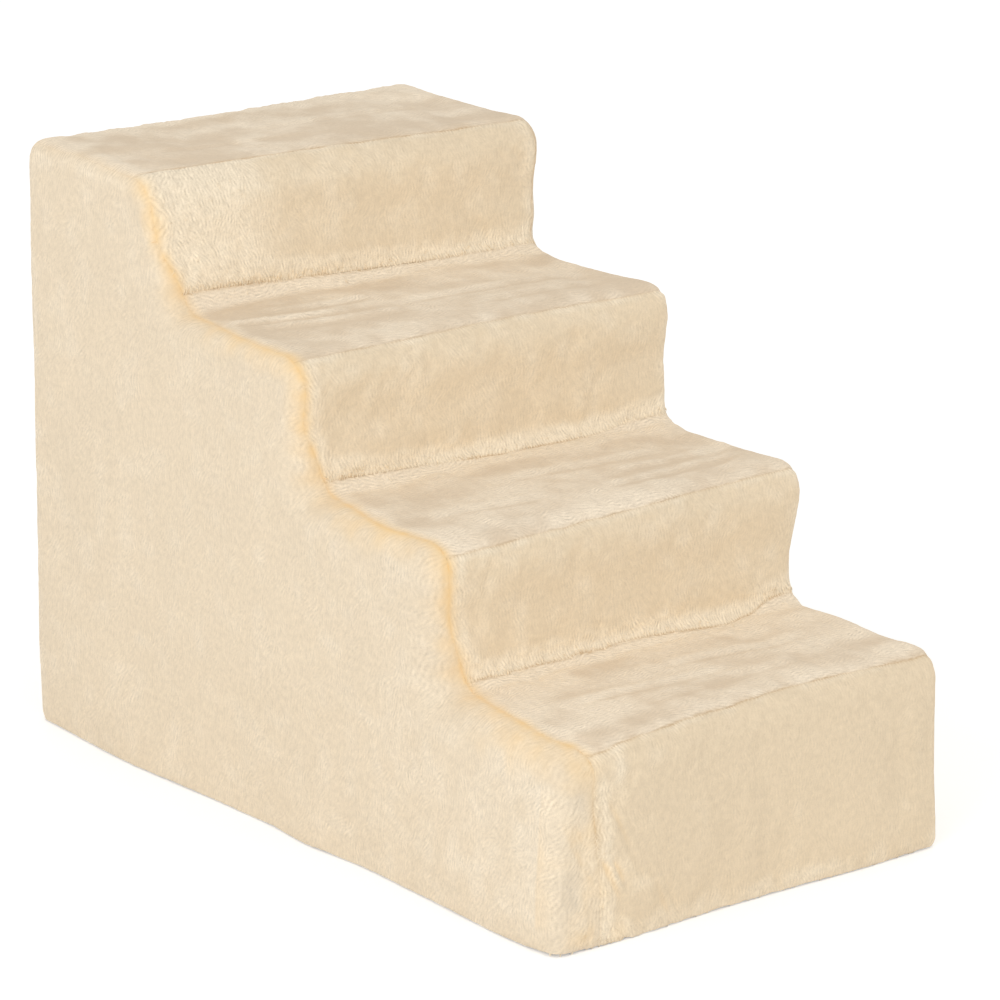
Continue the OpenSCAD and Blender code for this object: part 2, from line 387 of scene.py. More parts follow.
# the soft cover: how round its side edges are, and how far in from the side its side seams lie, in mm.
# a seam lies beyond the round of its edge where positive, and down on it where negative
leftEdge = {
    "round": {
        0: 8, 0.4: 10, 0.8: 18, 1: 23, 1.3: 20, 1.6: 24, 2: 30, 2.5: 22, 3: 19, 3.4: 15, 4: 26,
        4.5: 14, 5: 12, 5.5: 12, 6: 20, 6.5: 12, 7: 12, 8: 12, 9: 12,
    },
    "seam": {
        0: 31, 0.4: 25, 0.8: 13, 1: 8, 1.3: 0, 1.6: 0, 2: 4, 2.5: 0, 3: 0, 3.4: -1, 4: 3, 4.5: -1,
        5: -3, 5.5: -2, 6: 1, 6.5: -4, 7: -6, 7.5: -4, 8: -6, 9: -6,
    },
}
rightEdge = {
    "round": {
        0: 5, 0.85: 4, 1: 5, 1.12: 9, 1.3: 17, 1.8: 18, 2: 13, 2.5: 11, 3: 12, 3.3: 18, 3.8: 18, 4: 12,
        4.5: 8, 5: 9, 5.3: 18, 5.8: 18, 6: 13, 6.5: 11, 7: 12, 7.3: 17, 7.8: 15, 8: 12, 9: 12,
    },
    "seam": {
        0: -13, 1: -13, 2: -13, 3: -13, 4: -13, 5: -13, 5.9: -13, 6: -4, 7: -4, 7.15: -9, 8: -6, 9: -6,
    },
}


def edgeRound(edge, s):
    return alongMarks(s, edge["round"]) * mm


def edgeSeam(edge, s):
    wave = softNoise(onLine(s), 31 * mm, 3) * mm
    return alongMarks(s, edge["seam"]) * mm + wave


def edgeProfile(e, radius):
    # how far in from the side and in from the outline a point e lies, e counted from the end of the round
    a = np.clip(1 + e / radius, 0, 1) * (math.pi / 2)
    inward = np.where(e < 0, radius - radius * np.cos(a), radius + e)
    down = np.where(e < -radius, -e, np.where(e < 0, radius - radius * np.sin(a), 0))
    return inward, down


# where the seams across the stairs stray from the middle of their round: [x in mm, shift in mm], ...
seamStray = {
    "nose1": [(-170, 3), (-60, 5), (20, 8), (120, 4), (200, 2)],
    "inner2": [(-170, 1), (0, 1), (60, -4), (115, -8), (150, 3), (178, 7), (200, 2)],
    "nose2": [(-180, -3), (0, 0), (200, 3)],
    "inner3": [(-180, 6), (-100, 2), (0, -4), (100, -6), (160, 1), (200, 0)],
    "nose3": [(-190, 6), (0, 7), (200, 2)],
    "inner4": [(-185, 12), (-100, 9), (0, 3), (100, 0), (200, 0)],
    "nose4": [(-190, 20), (-50, 17), (60, 13), (200, 8)],
    "back": [(0, 0)],
}


def seamAt(mark, x):
    if mark in ("hem", "end"):
        return marks[mark] + x * 0
    stray = np.array(seamStray[mark], float) * mm
    shift = sum(np.interp(x + d, stray[:, 0], stray[:, 1]) for d in np.linspace(-15, 15, 7) * mm) / 7
    seed = sorted(marks).index(mark)
    wave, fine = softNoise(onLine(x), 23 * mm, seed), softNoise(onLine(x), 7 * mm, seed + 20)
    return marks[mark] + shift + wave * 0.9 * mm + fine * 0.5 * mm


# how far the worn cover strays from the plain stairs, in mm
wear = {
    "left": 4.2,
    "right": 1.0,
    "rightTop": 3.6,
    "lean": 19,
    "noseSag": 8,
    "footFront": 5,
    "footMiddle": 3,
    "lowCorner": (2.5, 2, 1.5),
    "flare": 5,
    "farFlare": 6,
    "frontFlare": 8,
    "crown": 5,
    "crownOut": 3.0,
    "bulge": 4,
    "pinch": 9,
    "treadSag": (1.5, 2.5, 3.0, 1.5),
    "hemRoll": 2.6,
    "hemWave": (1.6, 1.7),
}


def warp(p):
    # how the worn cover leans, sags and flares away from the plain stairs
    x, y, z = p.T
    out = p.copy()
    frontY, lowTop, highTop = stepY[0], stepZ[0], stepZ[3]
    left = np.clip((halfWidth - x) / (2 * halfWidth), 0, 1)
    wider = np.where(x < 0, -wear["left"], wear["right"] + wear["rightTop"] * ramp(z, 0.41, 0.44))
    out[:, 0] += wider * mm * ramp(np.abs(x), halfWidth - 0.05, halfWidth)
    lean = ramp(z, stepZ[2] + 0.02, highTop - 0.01) * (1 - ramp(y, stepY[3] + 0.03, backY - 0.03))
    out[:, 1] += wear["lean"] * mm * left * lean * (y < backY - 0.02)
    lowNose = hill(x, -halfWidth, 0.07) * hill(y, frontY, 0.06) * hill(z, lowTop, 0.05)
    out[:, 2] -= wear["noseSag"] * mm * lowNose
    atEdge = ramp(-x, halfWidth - 0.06, halfWidth)
    foot = wear["footFront"] * hill(y, -0.04, 0.04) + wear["footMiddle"] * hill(y, 0.13, 0.09)
    out[:, 0] -= foot * mm * hill(z, 0, 0.045) * atEdge
    lowCorner = hill(y, frontY, 0.03) * hill(x, -halfWidth, 0.03) * hill(z, 0, 0.03)
    for axis, amount in enumerate(wear["lowCorner"]):
        out[:, axis] += amount * mm * lowCorner
    flare = hill(z, 0, 0.10) * hill(y, frontY + 0.06, 0.11) * atEdge
    out[:, 0] -= wear["flare"] * mm * flare
    farFlare = hill(z, 0, 0.07) * hill(y, backY - 0.13, 0.09) * atEdge
    out[:, 0] -= wear["farFlare"] * mm * farFlare
    frontFlare = hill(z, 0, 0.06) * ramp(-y, -frontY - 0.03, -frontY) * ramp(x, -0.05, 0.15)
    out[:, 1] -= wear["frontFlare"] * mm * frontFlare
    # the high back corner on the left stands up and out
    crown = hill(x, -halfWidth, 0.09) * hill(y, backY, 0.10)
    out[:, 2] += wear["crown"] * mm * crown * ramp(z, highTop - 0.05, highTop)
    leanOut = (wear["crownOut"] + wear["crownOut"] * ramp(z, 0.15, highTop)) * ramp(z, 0.0, 0.08)
    out[:, 0] -= leanOut * mm * hill(y, backY, 0.15) * ramp(-x, 0.173, halfWidth)
    bulge = hill(x, halfWidth, 0.07) * hill(y, frontY + 0.11, 0.05) * ramp(z, lowTop - 0.05, lowTop)
    out[:, 2] += wear["bulge"] * mm * bulge * (z < lowTop + 0.03)
    pinched = hill(x, halfWidth, 0.05) * hill(y, stepY[1], 0.03) * hill(z, lowTop + 0.025, 0.03)
    out[:, 0] -= wear["pinch"] * mm * pinched
    for top, front, sunk in zip(stepZ, stepY, wear["treadSag"]):
        onTop = ramp(z, top - 0.03, top) * (z < top + 0.03) * ramp(x, 0.02, 0.19)
        out[:, 2] -= sunk * mm * onTop * hill(y, front + 0.11, 0.085)
    # the hem rolls under, and waves along the front
    under = np.clip(1 - (z - cover["hemHeight"]) / (9 * mm), 0, 1) ** 2
    place = onPlane(p[:, :2])
    tuftier = 0.35 + 0.65 * hill(x, -0.10, 0.10) * (y < frontY + 0.03)
    long, short = wear["hemWave"]
    frontWave = long * softNoise(place, 24 * mm, 5) + short * np.abs(softNoise(place, 9 * mm, 6))
    roll = wear["hemRoll"]
    out[:, 0] -= np.where(x < 0, 1.0, roll) * mm * under * np.sign(x) * (np.abs(x) > halfWidth - 0.03)
    out[:, 1] += mm * under * np.where(y < frontY + 0.03, 1.0, np.where(y > backY - 0.03, -roll, 0))
    out[:, 2] += np.maximum(frontWave * mm * under * tuftier, -0.8 * mm)
    return out


def coverPoints(s, e):
    # points of the cover, s along the outline and e across it, counted from the end of the left round
    left, right = edgeRound(leftEdge, s), edgeRound(rightEdge, s)
    flat = 2 * halfWidth - left - right
    y, z, inY, inZ = outlineAt(s)
    inLeft, downLeft = edgeProfile(e, left)
    inRight, downRight = edgeProfile(flat - e, right)
    atLeft = e < flat / 2
    down = np.where(atLeft, downLeft, downRight)
    x = np.where(atLeft, inLeft - halfWidth, halfWidth - inRight)
    return warp(np.stack([x, y + down * inY, z + down * inZ], -1))


def crossPoints(lowMark, highMark, c, v):
    # c runs from the left side seam to the right one, and v from the lower seam to the upper
    x = -halfWidth + 2 * halfWidth * c
    low, high = seamAt(lowMark, x), seamAt(highMark, x)
    s = low + (high - low) * v
    start, stop = edgeSeam(leftEdge, s), edgeSeam(rightEdge, s)
    flat = 2 * halfWidth - edgeRound(leftEdge, s) - edgeRound(rightEdge, s)
    e = start + (flat - start - stop) * c
    facts = {
        "along": s,
        "fromLow": s - low,
        "fromHigh": high - s,
        "fromLeft": e - start,
        "fromRight": flat - stop - e,
    }
    return coverPoints(s, e), facts


print("outline drawn,", len(outlineRows), "points,", round(marks["end"], 3), "m round")


# panels of the cover: coarse cloth first, which is inflated, and then the fine plush

weaveCell = {"coarse": 7 * mm, "fine": 1.9 * mm, "sideFine": 2.5 * mm}
swell = {
    "pressure": 0.2,
    "sidePressure": 0.06,
    "grow": 0.006,
    "frames": 20,
    "stiff": 12,
    "bend": 0.6,
    "quality": 4,
    "mass": 0.3,
}
fullness = {"riser": 2.2 * mm, "tread": 1.3 * mm, "left_": 1.8 * mm, "right": 1.5 * mm, "back_": 2 * mm}
crossNames = [f"{kind}_panel_{i}" for i in (1, 2, 3, 4) for kind in ("riser", "tread")]
crossPanels = dict(zip(crossNames, zip(seamOrder, seamOrder[1:])))  # each with its lower and upper seam


def gridPiece(name, width, length, cell):
    deselectAll()
    across, along = round(width / cell), round(length / cell)
    bpy.ops.mesh.primitive_grid_add(x_subdivisions=across, y_subdivisions=along, size=1)
    piece = bpy.context.object
    piece.name = piece.data.name = name
    return piece


def crossPiece(name, lowMark, highMark, cell):
    piece = gridPiece(name, 2 * halfWidth, marks[highMark] - marks[lowMark], cell)
    flat = readPoints(piece)
    c, v = flat[:, 0] + 0.5, flat[:, 1] + 0.5
    points, facts = crossPoints(lowMark, highMark, c, v)
    facts["uv"] = np.stack([c * 2 * halfWidth, facts["along"]], -1)
    facts["onEdge"] = (c < 0.001) | (c > 0.999) | (v < 0.001) | (v > 0.999)
    writePoints(piece, points)
    return piece, points, facts


def insideOf(points, loop):
    inside = np.zeros(len(points), bool)
    for (x0, y0), (x1, y1) in zip(loop, np.roll(loop, -1, axis=0)):
        crossing = (y0 > points[:, 1]) != (y1 > points[:, 1])
        if y1 != y0:
            inside ^= crossing & (points[:, 0] < (x1 - x0) * (points[:, 1] - y0) / (y1 - y0) + x0)
    return inside


def nearestOn(points, line, closed):
    # nearest place on a line of points: the place, its distance, and how far along the line it is
    ends = np.roll(line, -1, axis=0) if closed else line[1:]
    starts = line if closed else line[:-1]
    step = ends - starts
    size = np.maximum((step**2).sum(1), 1e-18)
    run = np.concatenate([[0], np.cumsum(np.sqrt(size))])
    place, gap, along = np.zeros_like(points), np.zeros(len(points)), np.zeros(len(points))
    for k in range(0, len(points), 4000):
        p = points[k : k + 4000]
        t = np.clip((((p[:, None] - starts) * step).sum(2)) / size, 0, 1)
        near = starts + t[..., None] * step
        away = ((p[:, None] - near) ** 2).sum(2)
        best = away.argmin(1)
        rows = np.arange(len(p))
        place[k : k + 4000] = near[rows, best]
        gap[k : k + 4000] = np.sqrt(away[rows, best])
        along[k : k + 4000] = run[best] + t[rows, best] * np.sqrt(size[best])
    return place, gap, along


def cutPiece(name, loop, corners, cell):
    # a flat grid, cut to a closed outline and smoothed, with the points of its edge on the outline
    low, high = loop.min(0) - cell / 2, loop.max(0) + cell / 2
    piece = gridPiece(name, *(high - low), cell)
    plane = (readPoints(piece)[:, :2] + 0.5) * (high - low) + low
    outside = ~insideOf(plane, loop)
    faces = np.zeros(len(piece.data.polygons) * 4, np.int32)
    piece.data.polygons.foreach_get("vertices", faces)
    drop = outside[faces.reshape(-1, 4)].any(1)
    writePoints(piece, onPlane(plane))
    pick(piece)
    bpy.ops.object.mode_set(mode="EDIT")
    bpy.ops.mesh.select_mode(type="FACE")
    bpy.ops.mesh.select_all(action="DESELECT")
    bpy.ops.object.mode_set(mode="OBJECT")
    piece.data.polygons.foreach_set("select", drop)
    bpy.ops.object.mode_set(mode="EDIT")
    bpy.ops.mesh.delete(type="FACE")
    bpy.ops.mesh.select_mode(type="VERT")
    bpy.ops.mesh.select_all(action="DESELECT")
    bpy.ops.mesh.select_non_manifold()
    bpy.ops.object.mode_set(mode="OBJECT")
    edge = np.zeros(len(piece.data.vertices), bool)
    piece.data.vertices.foreach_get("select", edge)
    plane = readPoints(piece)[:, :2]
    plane[edge] = nearestOn(plane[edge], loop, True)[0]
    rim = np.nonzero(edge)[0]
    for corner in corners:
        plane[rim[((plane[rim] - corner) ** 2).sum(1).argmin()]] = corner
    writePoints(piece, onPlane(plane))
    bpy.ops.object.mode_set(mode="EDIT")
    bpy.ops.mesh.select_all(action="INVERT")
    bpy.ops.mesh.vertices_smooth(factor=0.5, repeat=12)
    bpy.ops.object.mode_set(mode="OBJECT")
    return piece, readPoints(piece)[:, :2], edge


def sideLoop(edge):
    # the side panel's seam, drawn flat, from the hem in front over the steps and down to the hem at the back
    s = np.linspace(0, marks["end"], 620)
    y, z, inY, inZ = outlineAt(s)
    seam = edgeSeam(edge, s)
    return np.stack([y - seam * inY, z - seam * inZ], -1)


def sidePiece(name, edge, side, cell):
    loop = sideLoop(edge)
    piece, plane, rim = cutPiece(name, loop, (loop[0], loop[-1]), cell)
    line = outlineRows[:, :2]
    gap, along = nearestOn(plane, line, False)[1:]
    y, z, inY, inZ = outlineAt(along)
    depth = (plane[:, 0] - y) * inY + (plane[:, 1] - z) * inZ
    depth = np.where(gap > 45 * mm, gap, depth)
    radius = edgeRound(edge, along)
    inward, down = edgeProfile(-depth, radius)
    rolled = depth < radius
    across = np.where(rolled, inward, 0)
    x = side * (halfWidth - across)
    py = np.where(rolled, y + down * inY, plane[:, 0])
    pz = np.where(rolled, z + down * inZ, plane[:, 1])
    seamGap = nearestOn(plane, loop, False)[1]
    facts = {"along": along, "gap": seamGap, "uv": plane, "onEdge": rim}
    points = warp(np.stack([x, py, pz], -1))
    writePoints(piece, points)
    if side < 0:
        editWhole(piece, bpy.ops.mesh.flip_normals)
    return piece, points, facts


zipPath = {
    "x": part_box("zip_slider")[0].x / 2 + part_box("zip_slider")[1].x / 2,
    "top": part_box("zip_tape_outer")[1].z - 7.5 * mm,
    "low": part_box("zip_tape_outer")[0].z,
    "corner": 40 * mm,
    "gap": 15 * mm,
    "overlap": 0.6 * mm,
    "slit": 1.4 * mm,
    "coilWidth": 2.2 * mm,
    "coilThick": 1.6 * mm,
    "coilSink": 0.9 * mm,
    "tapeThick": 0.6 * mm,
}


def zipOffset(x, z):
    # signed distance from the zip's path, above zero outside it
    q = np.abs(x) - (zipPath["x"] - zipPath["corner"])
    w = z - (zipPath["top"] - zipPath["corner"])
    return np.hypot(np.maximum(q, 0), np.maximum(w, 0)) + np.minimum(np.maximum(q, w), 0) - zipPath["corner"]


def zipLoop(offset, low):
    # the U of the zip, moved out by offset, from its lower left end over the top to its lower right end
    half, top, corner = zipPath["x"] + offset, zipPath["top"] + offset, zipPath["corner"] + offset
    turn = np.radians(np.linspace(180, 90, 19))
    left = np.stack([corner * np.cos(turn) - half + corner, corner * np.sin(turn) + top - corner], -1)
    right = left[::-1] * (-1, 1)
    return np.concatenate([[[-half, low]], left, right, [[half, low]]])


backStart, backEnd = marks["back"], marks["end"]


def runOfHeight(z):
    # how far down the back from its top seam a height lies
    return (backEnd - backStart) - (z - cover["hemHeight"])


def backPiece(name, loop, corners, cell):
    # loops on the back are drawn as x and height, and the top seam lies at its own run
    flatLoop = np.stack([loop[:, 0], -runOfHeight(loop[:, 1])], -1)
    piece, plane, rim = cutPiece(name, flatLoop, [(x, -runOfHeight(z)) for x, z in corners], cell)
    wide = halfWidth - 6 * mm
    c, v = (plane[:, 0] + wide) / (2 * wide), -plane[:, 1] / (backEnd - backStart)
    points, facts = crossPoints("back", "end", c, v)
    facts["uv"] = plane
    facts["onEdge"] = rim
    stay = 1 - ramp(np.abs(plane[:, 0]), zipPath["x"] + 10 * mm, wide)
    points[:, 0] += (plane[:, 0] - points[:, 0]) * stay
    facts["zip"] = zipOffset(plane[:, 0], points[:, 2])
    writePoints(piece, points)
    editWhole(piece, bpy.ops.mesh.flip_normals)
    return piece, points, facts


def borderPiece(name, cell):
    wide, top = halfWidth - 6 * mm, cover["hemHeight"] + backEnd - backStart
    gap = zipLoop(zipPath["gap"] / 2 - zipPath["overlap"], cover["hemHeight"])
    outer = [(wide, cover["hemHeight"]), (wide, top), (-wide, top), (-wide, cover["hemHeight"])]
    loop = np.concatenate([gap, outer])
    return backPiece(name, loop, [*outer, gap[0], gap[-1]], cell)


def flapPiece(name, cell):
    foot, low = zipPath["x"] + zipPath["gap"] / 2 - zipPath["overlap"], cover["hemHeight"]
    top = zipPath["low"] + zipPath["overlap"]
    flap = zipLoop(zipPath["overlap"] - zipPath["gap"] / 2, top)
    feet = [(foot, top), (foot, low), (-foot, low), (-foot, top)]
    loop = np.concatenate([flap, feet])
    return backPiece(name, loop, feet, cell)


def startPiece(name, cell, prefix=""):
    if name in crossPanels:
        return crossPiece(prefix + name, *crossPanels[name], cell)
    if name == "left_side_panel":
        return sidePiece(prefix + name, leftEdge, -1, cell)
    if name == "right_side_panel":
        return sidePiece(prefix + name, rightEdge, 1, cell)
    if name == "back_border":
        return borderPiece(prefix + name, cell)
    return flapPiece(prefix + name, cell)


coverPanels = [*crossPanels, "left_side_panel", "right_side_panel", "back_flap", "back_border"]


def addCloth(piece, pinned, pressure):
    group = piece.vertex_groups.new(name="pinned")
    group.add([int(i) for i in np.nonzero(pinned)[0]], 1.0, "REPLACE")
    modifier = piece.modifiers.new("cloth", "CLOTH")
    cloth = modifier.settings
    cloth.vertex_group_mass = "pinned"
    cloth.quality = swell["quality"]
    cloth.mass = swell["mass"]
    cloth.tension_stiffness = swell["stiff"]
    cloth.compression_stiffness = swell["stiff"]
    cloth.shear_stiffness = swell["stiff"] / 2
    cloth.bending_stiffness = swell["bend"]
    cloth.use_pressure = True
    cloth.uniform_pressure_force = pressure
    cloth.shrink_min = -swell["grow"]
    cloth.effector_weights.gravity = 0
    modifier.collision_settings.use_collision = False


def sampleGrid(grid, c, v):
    # smooth values of a grid at places from 0 to 1 (Catmull-Rom in both directions)
    def taps(t, count):
        place = np.clip(t, 0, 1) * (count - 1)
        cell = np.minimum(place.astype(int), count - 2)
        f = place - cell
        weights = (
            -0.5 * f + f * f - 0.5 * f**3,
            1 - 2.5 * f * f + 1.5 * f**3,
            0.5 * f + 2 * f * f - 1.5 * f**3,
            -0.5 * f * f + 0.5 * f**3,
        )
        return [(np.clip(cell + k - 1, 0, count - 1), w) for k, w in enumerate(weights)]

    total = np.zeros((len(c), grid.shape[2]))
    for i, wi in taps(c, grid.shape[0]):
        for j, wj in taps(v, grid.shape[1]):
            total += (wi * wj)[:, None] * grid[i, j]
    return total


def gridOf(facts, moved, cell):
    # the moves of scattered points as an even grid over their flat box, with the box
    flat = facts["uv"]
    low, high = flat.min(0), flat.max(0)
    count = np.maximum(np.round((high - low) / cell).astype(int), 2) + 1
    place = (flat - low) / (high - low) * (count - 1)
    total, weight = np.zeros((*count, 3)), np.zeros(count)
    base = np.minimum(place.astype(int), count - 2)
    f = place - base
    for i in (0, 1):
        for j in (0, 1):
            w = (f[:, 0] if i else 1 - f[:, 0]) * (f[:, 1] if j else 1 - f[:, 1])
            np.add.at(total, (base[:, 0] + i, base[:, 1] + j), moved * w[:, None])
            np.add.at(weight, (base[:, 0] + i, base[:, 1] + j), w)
    return total / np.maximum(weight, 1e-6)[..., None] * (weight > 1e-6)[..., None], low, high


def swellPanels():
    # all coarse panels are inflated together, pinned at their seams, and each gives its moves back
    coarse = {}
    for name in coverPanels:
        piece, points, facts = startPiece(name, weaveCell["coarse"], "coarse_")
        addCloth(piece, facts["onEdge"], swell["pressure" if name in crossPanels else "sidePressure"])
        coarse[name] = (piece, points, facts)
    for f in range(1, swell["frames"] + 1):
        bpy.context.scene.frame_set(f)
    moves = {}
    for name, (piece, points, facts) in coarse.items():
        pick(piece)
        bpy.ops.object.modifier_apply(modifier="cloth")
        moved = readPoints(piece) - points
        size = np.linalg.norm(moved, axis=1)
        cap = fullness[name[:5]]
        moved *= (cap * np.tanh(size / cap) / np.maximum(size, 1e-9))[:, None]
        print(name, "swells by up to", round(float(size.max()) / mm, 1), "mm")
        moves[name] = gridOf(facts, moved, weaveCell["coarse"])
        bpy.data.objects.remove(piece)
    bpy.context.scene.frame_set(1)
    return moves


moves = swellPanels()
print("cloth settled")


def nearestRim(facts):
    rim = facts["uv"][facts["onEdge"]]
    gap = np.zeros(len(facts["uv"]))
    for k in range(0, len(gap), 4000):
        away = ((facts["uv"][k : k + 4000, None] - rim) ** 2).sum(2)
        gap[k : k + 4000] = np.sqrt(away.min(1))
    return gap


def panelPiece(name):
    cell = weaveCell["fine"] if name in crossPanels else weaveCell["sideFine"]
    piece, points, facts = startPiece(name, cell)
    piece.name = piece.data.name = name + "_plush"
    if name not in crossPanels:
        facts["gap"] = facts.get("gap", nearestRim(facts))
    if name in moves:
        grid, low, high = moves[name]
        share = (facts["uv"] - low) / (high - low)
        if name in crossPanels:
            fade = ramp(np.minimum(facts["fromLeft"], facts["fromRight"]) + 3 * mm, 0, 18 * mm)[:, None]
        else:
            fade = ramp(facts["gap"], 0, 11 * mm)[:, None]
        points = points + sampleGrid(grid, share[:, 0], share[:, 1]) * fade
    writePoints(piece, points)
    writeUv(piece, facts["uv"])
    return piece, facts


# finishes: shared shader groups for pile, weave and wear, and one material for each finish

# one plush in three tones: the sides, risers and treads differ by painted shade, lighter or darker as the
# light falls on each face
plushToneAndFaceShade = {
    "sidePlush": {
        "Smooth": (0.80, 0.68, 0.515, 1),
        "Ruffled": (0.86, 0.755, 0.60, 1),
        "Blotch": 0.06,
        "Comb": 0.3,
        "Grain": 0.27,
    },
    "riserPlush": {
        "Smooth": (0.82, 0.68, 0.49, 1),
        "Ruffled": (0.905, 0.785, 0.605, 1),
        "Blotch": 0.07,
        "Comb": 0.0,
        "Grain": 0.24,
    },
    "treadPlush": {
        "Smooth": (0.755, 0.62, 0.46, 1),
        "Ruffled": (0.895, 0.775, 0.61, 1),
        "Blotch": 0.10,
        "Comb": 1.45,
        "Grain": 0.12,
    },
}
# the first colour is a painted warm glow of light through the pile; the second is the seam colour, a seam
# line with painted shade
plushColors = {"paintedGlow": (0.95, 0.67, 0.335, 1), "sewn": (0.60, 0.415, 0.225, 1)}


def newGroup(name, colors, values, gives):
    # a shader group that takes colours and values, and gives a colour and further values
    group = bpy.data.node_groups.new(name, "ShaderNodeTree")
    takes = (("INPUT", "Color", colors), ("INPUT", "Float", values))
    for way, kind, labels in (*takes, ("OUTPUT", "Color", ["Color"]), ("OUTPUT", "Float", gives)):
        for label in labels:
            group.interface.new_socket(label, in_out=way, socket_type="NodeSocket" + kind)
    return group, group.nodes.new("NodeGroupInput"), group.nodes.new("NodeGroupOutput")


def pileGroup():
    # short plush: brushed and ruffled pile, blotches, curled fibres, a painted warm glow of light through the
    # pile, and seam lines with painted shade
    values = ("Ruffle", "Glow", "Crease", "Blotch", "Comb", "Grain")
    group, take, give = newGroup("plushPile", ("Smooth", "Ruffled"), values, ["Height"])
    place = addNode(group, "ShaderNodeTexCoord")
    body, flat = place.outputs["Object"], place.outputs["UV"]
    ruffle, comb, grained, blotched = (take.outputs[key] for key in ("Ruffle", "Comb", "Grain", "Blotch"))
    wide, middle, brushed = (addNoise(group, body, scale, 3.0) for scale in (16.0, 75.0, 215.0))
    speck = addNoise(group, body, 950.0, 1.0)
    swirl = addSwing(group, addNoise(group, body, 45.0, 2.0), 3.4)
    heading = addSum(group, comb, swirl)
    fibres = {"Vector": flat, "Scale": 165.0, "Frequency": 1.8, "Anisotropy": 0.8, "Orientation 2D": heading}
    curl = addNode(group, "ShaderNodeTexGabor", fibres).outputs["Value"]
    # ruffled pile takes the paler tone: partly its own look, partly painted sheen of raised pile
    stirred = addSum(group, ruffle, addRange(group, middle, 0.3, 0.7, -0.10, 0.10))
    share = addRange(group, stirred, 0.0, 1.0, 0.0, 1.0)
    tone = addMix(group, share, take.outputs["Smooth"], take.outputs["Ruffled"])
    blotch = addSwing(group, wide, blotched)
    grain = addSwing(group, brushed, addFit(group, ruffle, 0.16, grained))
    dust = addSwing(group, speck, addFit(group, ruffle, 0.18, 0.14))
    strand = addSwing(group, curl, addFit(group, ruffle, 0.32, 0.12))
    level = addSum(group, addSum(group, blotch, grain), addSum(group, strand, dust))
    level = addSum(group, level, 1.0)
    grey = addNode(group, "ShaderNodeCombineColor", {0: level, 1: level, 2: level}).outputs[0]
    lit = addMix(group, 1.0, tone, grey, "MULTIPLY")
    # painted glow: warm light through the pile, laid on where the glow mask is
    paintedGlow = addProduct(group, take.outputs["Glow"], addRange(group, middle, 0.25, 0.65, 0.6, 1.0))
    warm = addMix(group, paintedGlow, lit, plushColors["paintedGlow"])
    # seams darken towards the seam colour: a seam line of its own, plus painted shade in the seam groove and
    # in pleat valleys
    sewn = addProduct(group, take.outputs["Crease"], addRange(group, curl, 0.35, 0.65, 1.0, 0.4))
    final = addMix(group, sewn, warm, plushColors["sewn"])
    hairs, dots = addProduct(group, brushed, 0.5), addProduct(group, speck, 0.12)
    tuftNoise = {"Vector": body, "Scale": 260.0, "Detail": 1.0, "Distortion": 1.2}
    tufted = addNode(group, "ShaderNodeTexNoise", tuftNoise).outputs["Fac"]
    raised = addProduct(group, tufted, addFit(group, ruffle, 0.5, 0.12))
    height = addSum(group, addSum(group, hairs, dots), raised)
    setInputs(group, give, {"Color": final, "Height": height})
    return group


def weaveGroup():
    # plain weave in the piece's own flat coordinates, with threads a given number to the metre
    group, take, give = newGroup("plainWeave", ("Thread", "Gap"), ["Count"], ["Height"])
    flat = addNode(group, "ShaderNodeTexCoord").outputs["UV"]
    parts = addNode(group, "ShaderNodeSeparateXYZ", {0: flat})
    turn = addProduct(group, take.outputs["Count"], math.pi)
    waves = [addMath(group, "SINE", addProduct(group, parts.outputs[i], turn)) for i in (0, 1)]
    over = addProduct(group, *waves)
    height = addMath(group, "MAXIMUM", *(addMath(group, "ABSOLUTE", wave) for wave in waves))
    height = addSum(group, height, addProduct(group, over, 0.3))
    fuzz = addNoise(group, addNode(group, "ShaderNodeTexCoord").outputs["Object"], 260.0, 3.0)
    raised = addRange(group, height, 0.4, 1.2, 0.0, 0.85)
    share = addSum(group, raised, addProduct(group, fuzz, 0.25))
    color = addMix(group, share, take.outputs["Gap"], take.outputs["Thread"])
    setInputs(group, give, {"Color": color, "Height": height})
    return group


def wearGroup():
    # rubbed and slightly dusty paint or plastic
    group, take, give = newGroup("lightWear", ("Base", "Worn"), ["Amount"], ("Roughness", "Height"))
    body = addNode(group, "ShaderNodeTexCoord").outputs["Object"]
    patch, fine = addNoise(group, body, 220.0, 4.0), addNoise(group, body, 1800.0, 2.0)
    share = addProduct(group, addRange(group, patch, 0.5, 0.75, 0.0, 1.0), take.outputs["Amount"])
    color = addMix(group, share, take.outputs["Base"], take.outputs["Worn"])
    rough = addRange(group, fine, 0.3, 0.7, 0.32, 0.5)
    setInputs(group, give, {"Color": color, "Roughness": rough, "Height": fine})
    return group


pileTree, weaveTree, wearTree = pileGroup(), weaveGroup(), wearGroup()


def newMaterial(name, roughness, sheen=0.0, metal=0.0):
    material = bpy.data.materials.new(name)
    material.use_nodes = True
    tree = material.node_tree
    shader = tree.nodes["Principled BSDF"]
    setInputs(tree, shader, {
        "Roughness": roughness,
        "Metallic": metal,
        "Sheen Weight": sheen,
        "Sheen Roughness": 0.5,
        "Sheen Tint": (1.0, 0.93, 0.82, 1),
        "Specular IOR Level": 0.2 if sheen else 0.5,
    })
    return material, tree, shader


def addBump(tree, shader, height, strength, distance):
    bump = addNode(tree, "ShaderNodeBump", {"Height": height, "Strength": strength, "Distance": distance})
    setInputs(tree, shader, {"Normal": bump.outputs[0]})


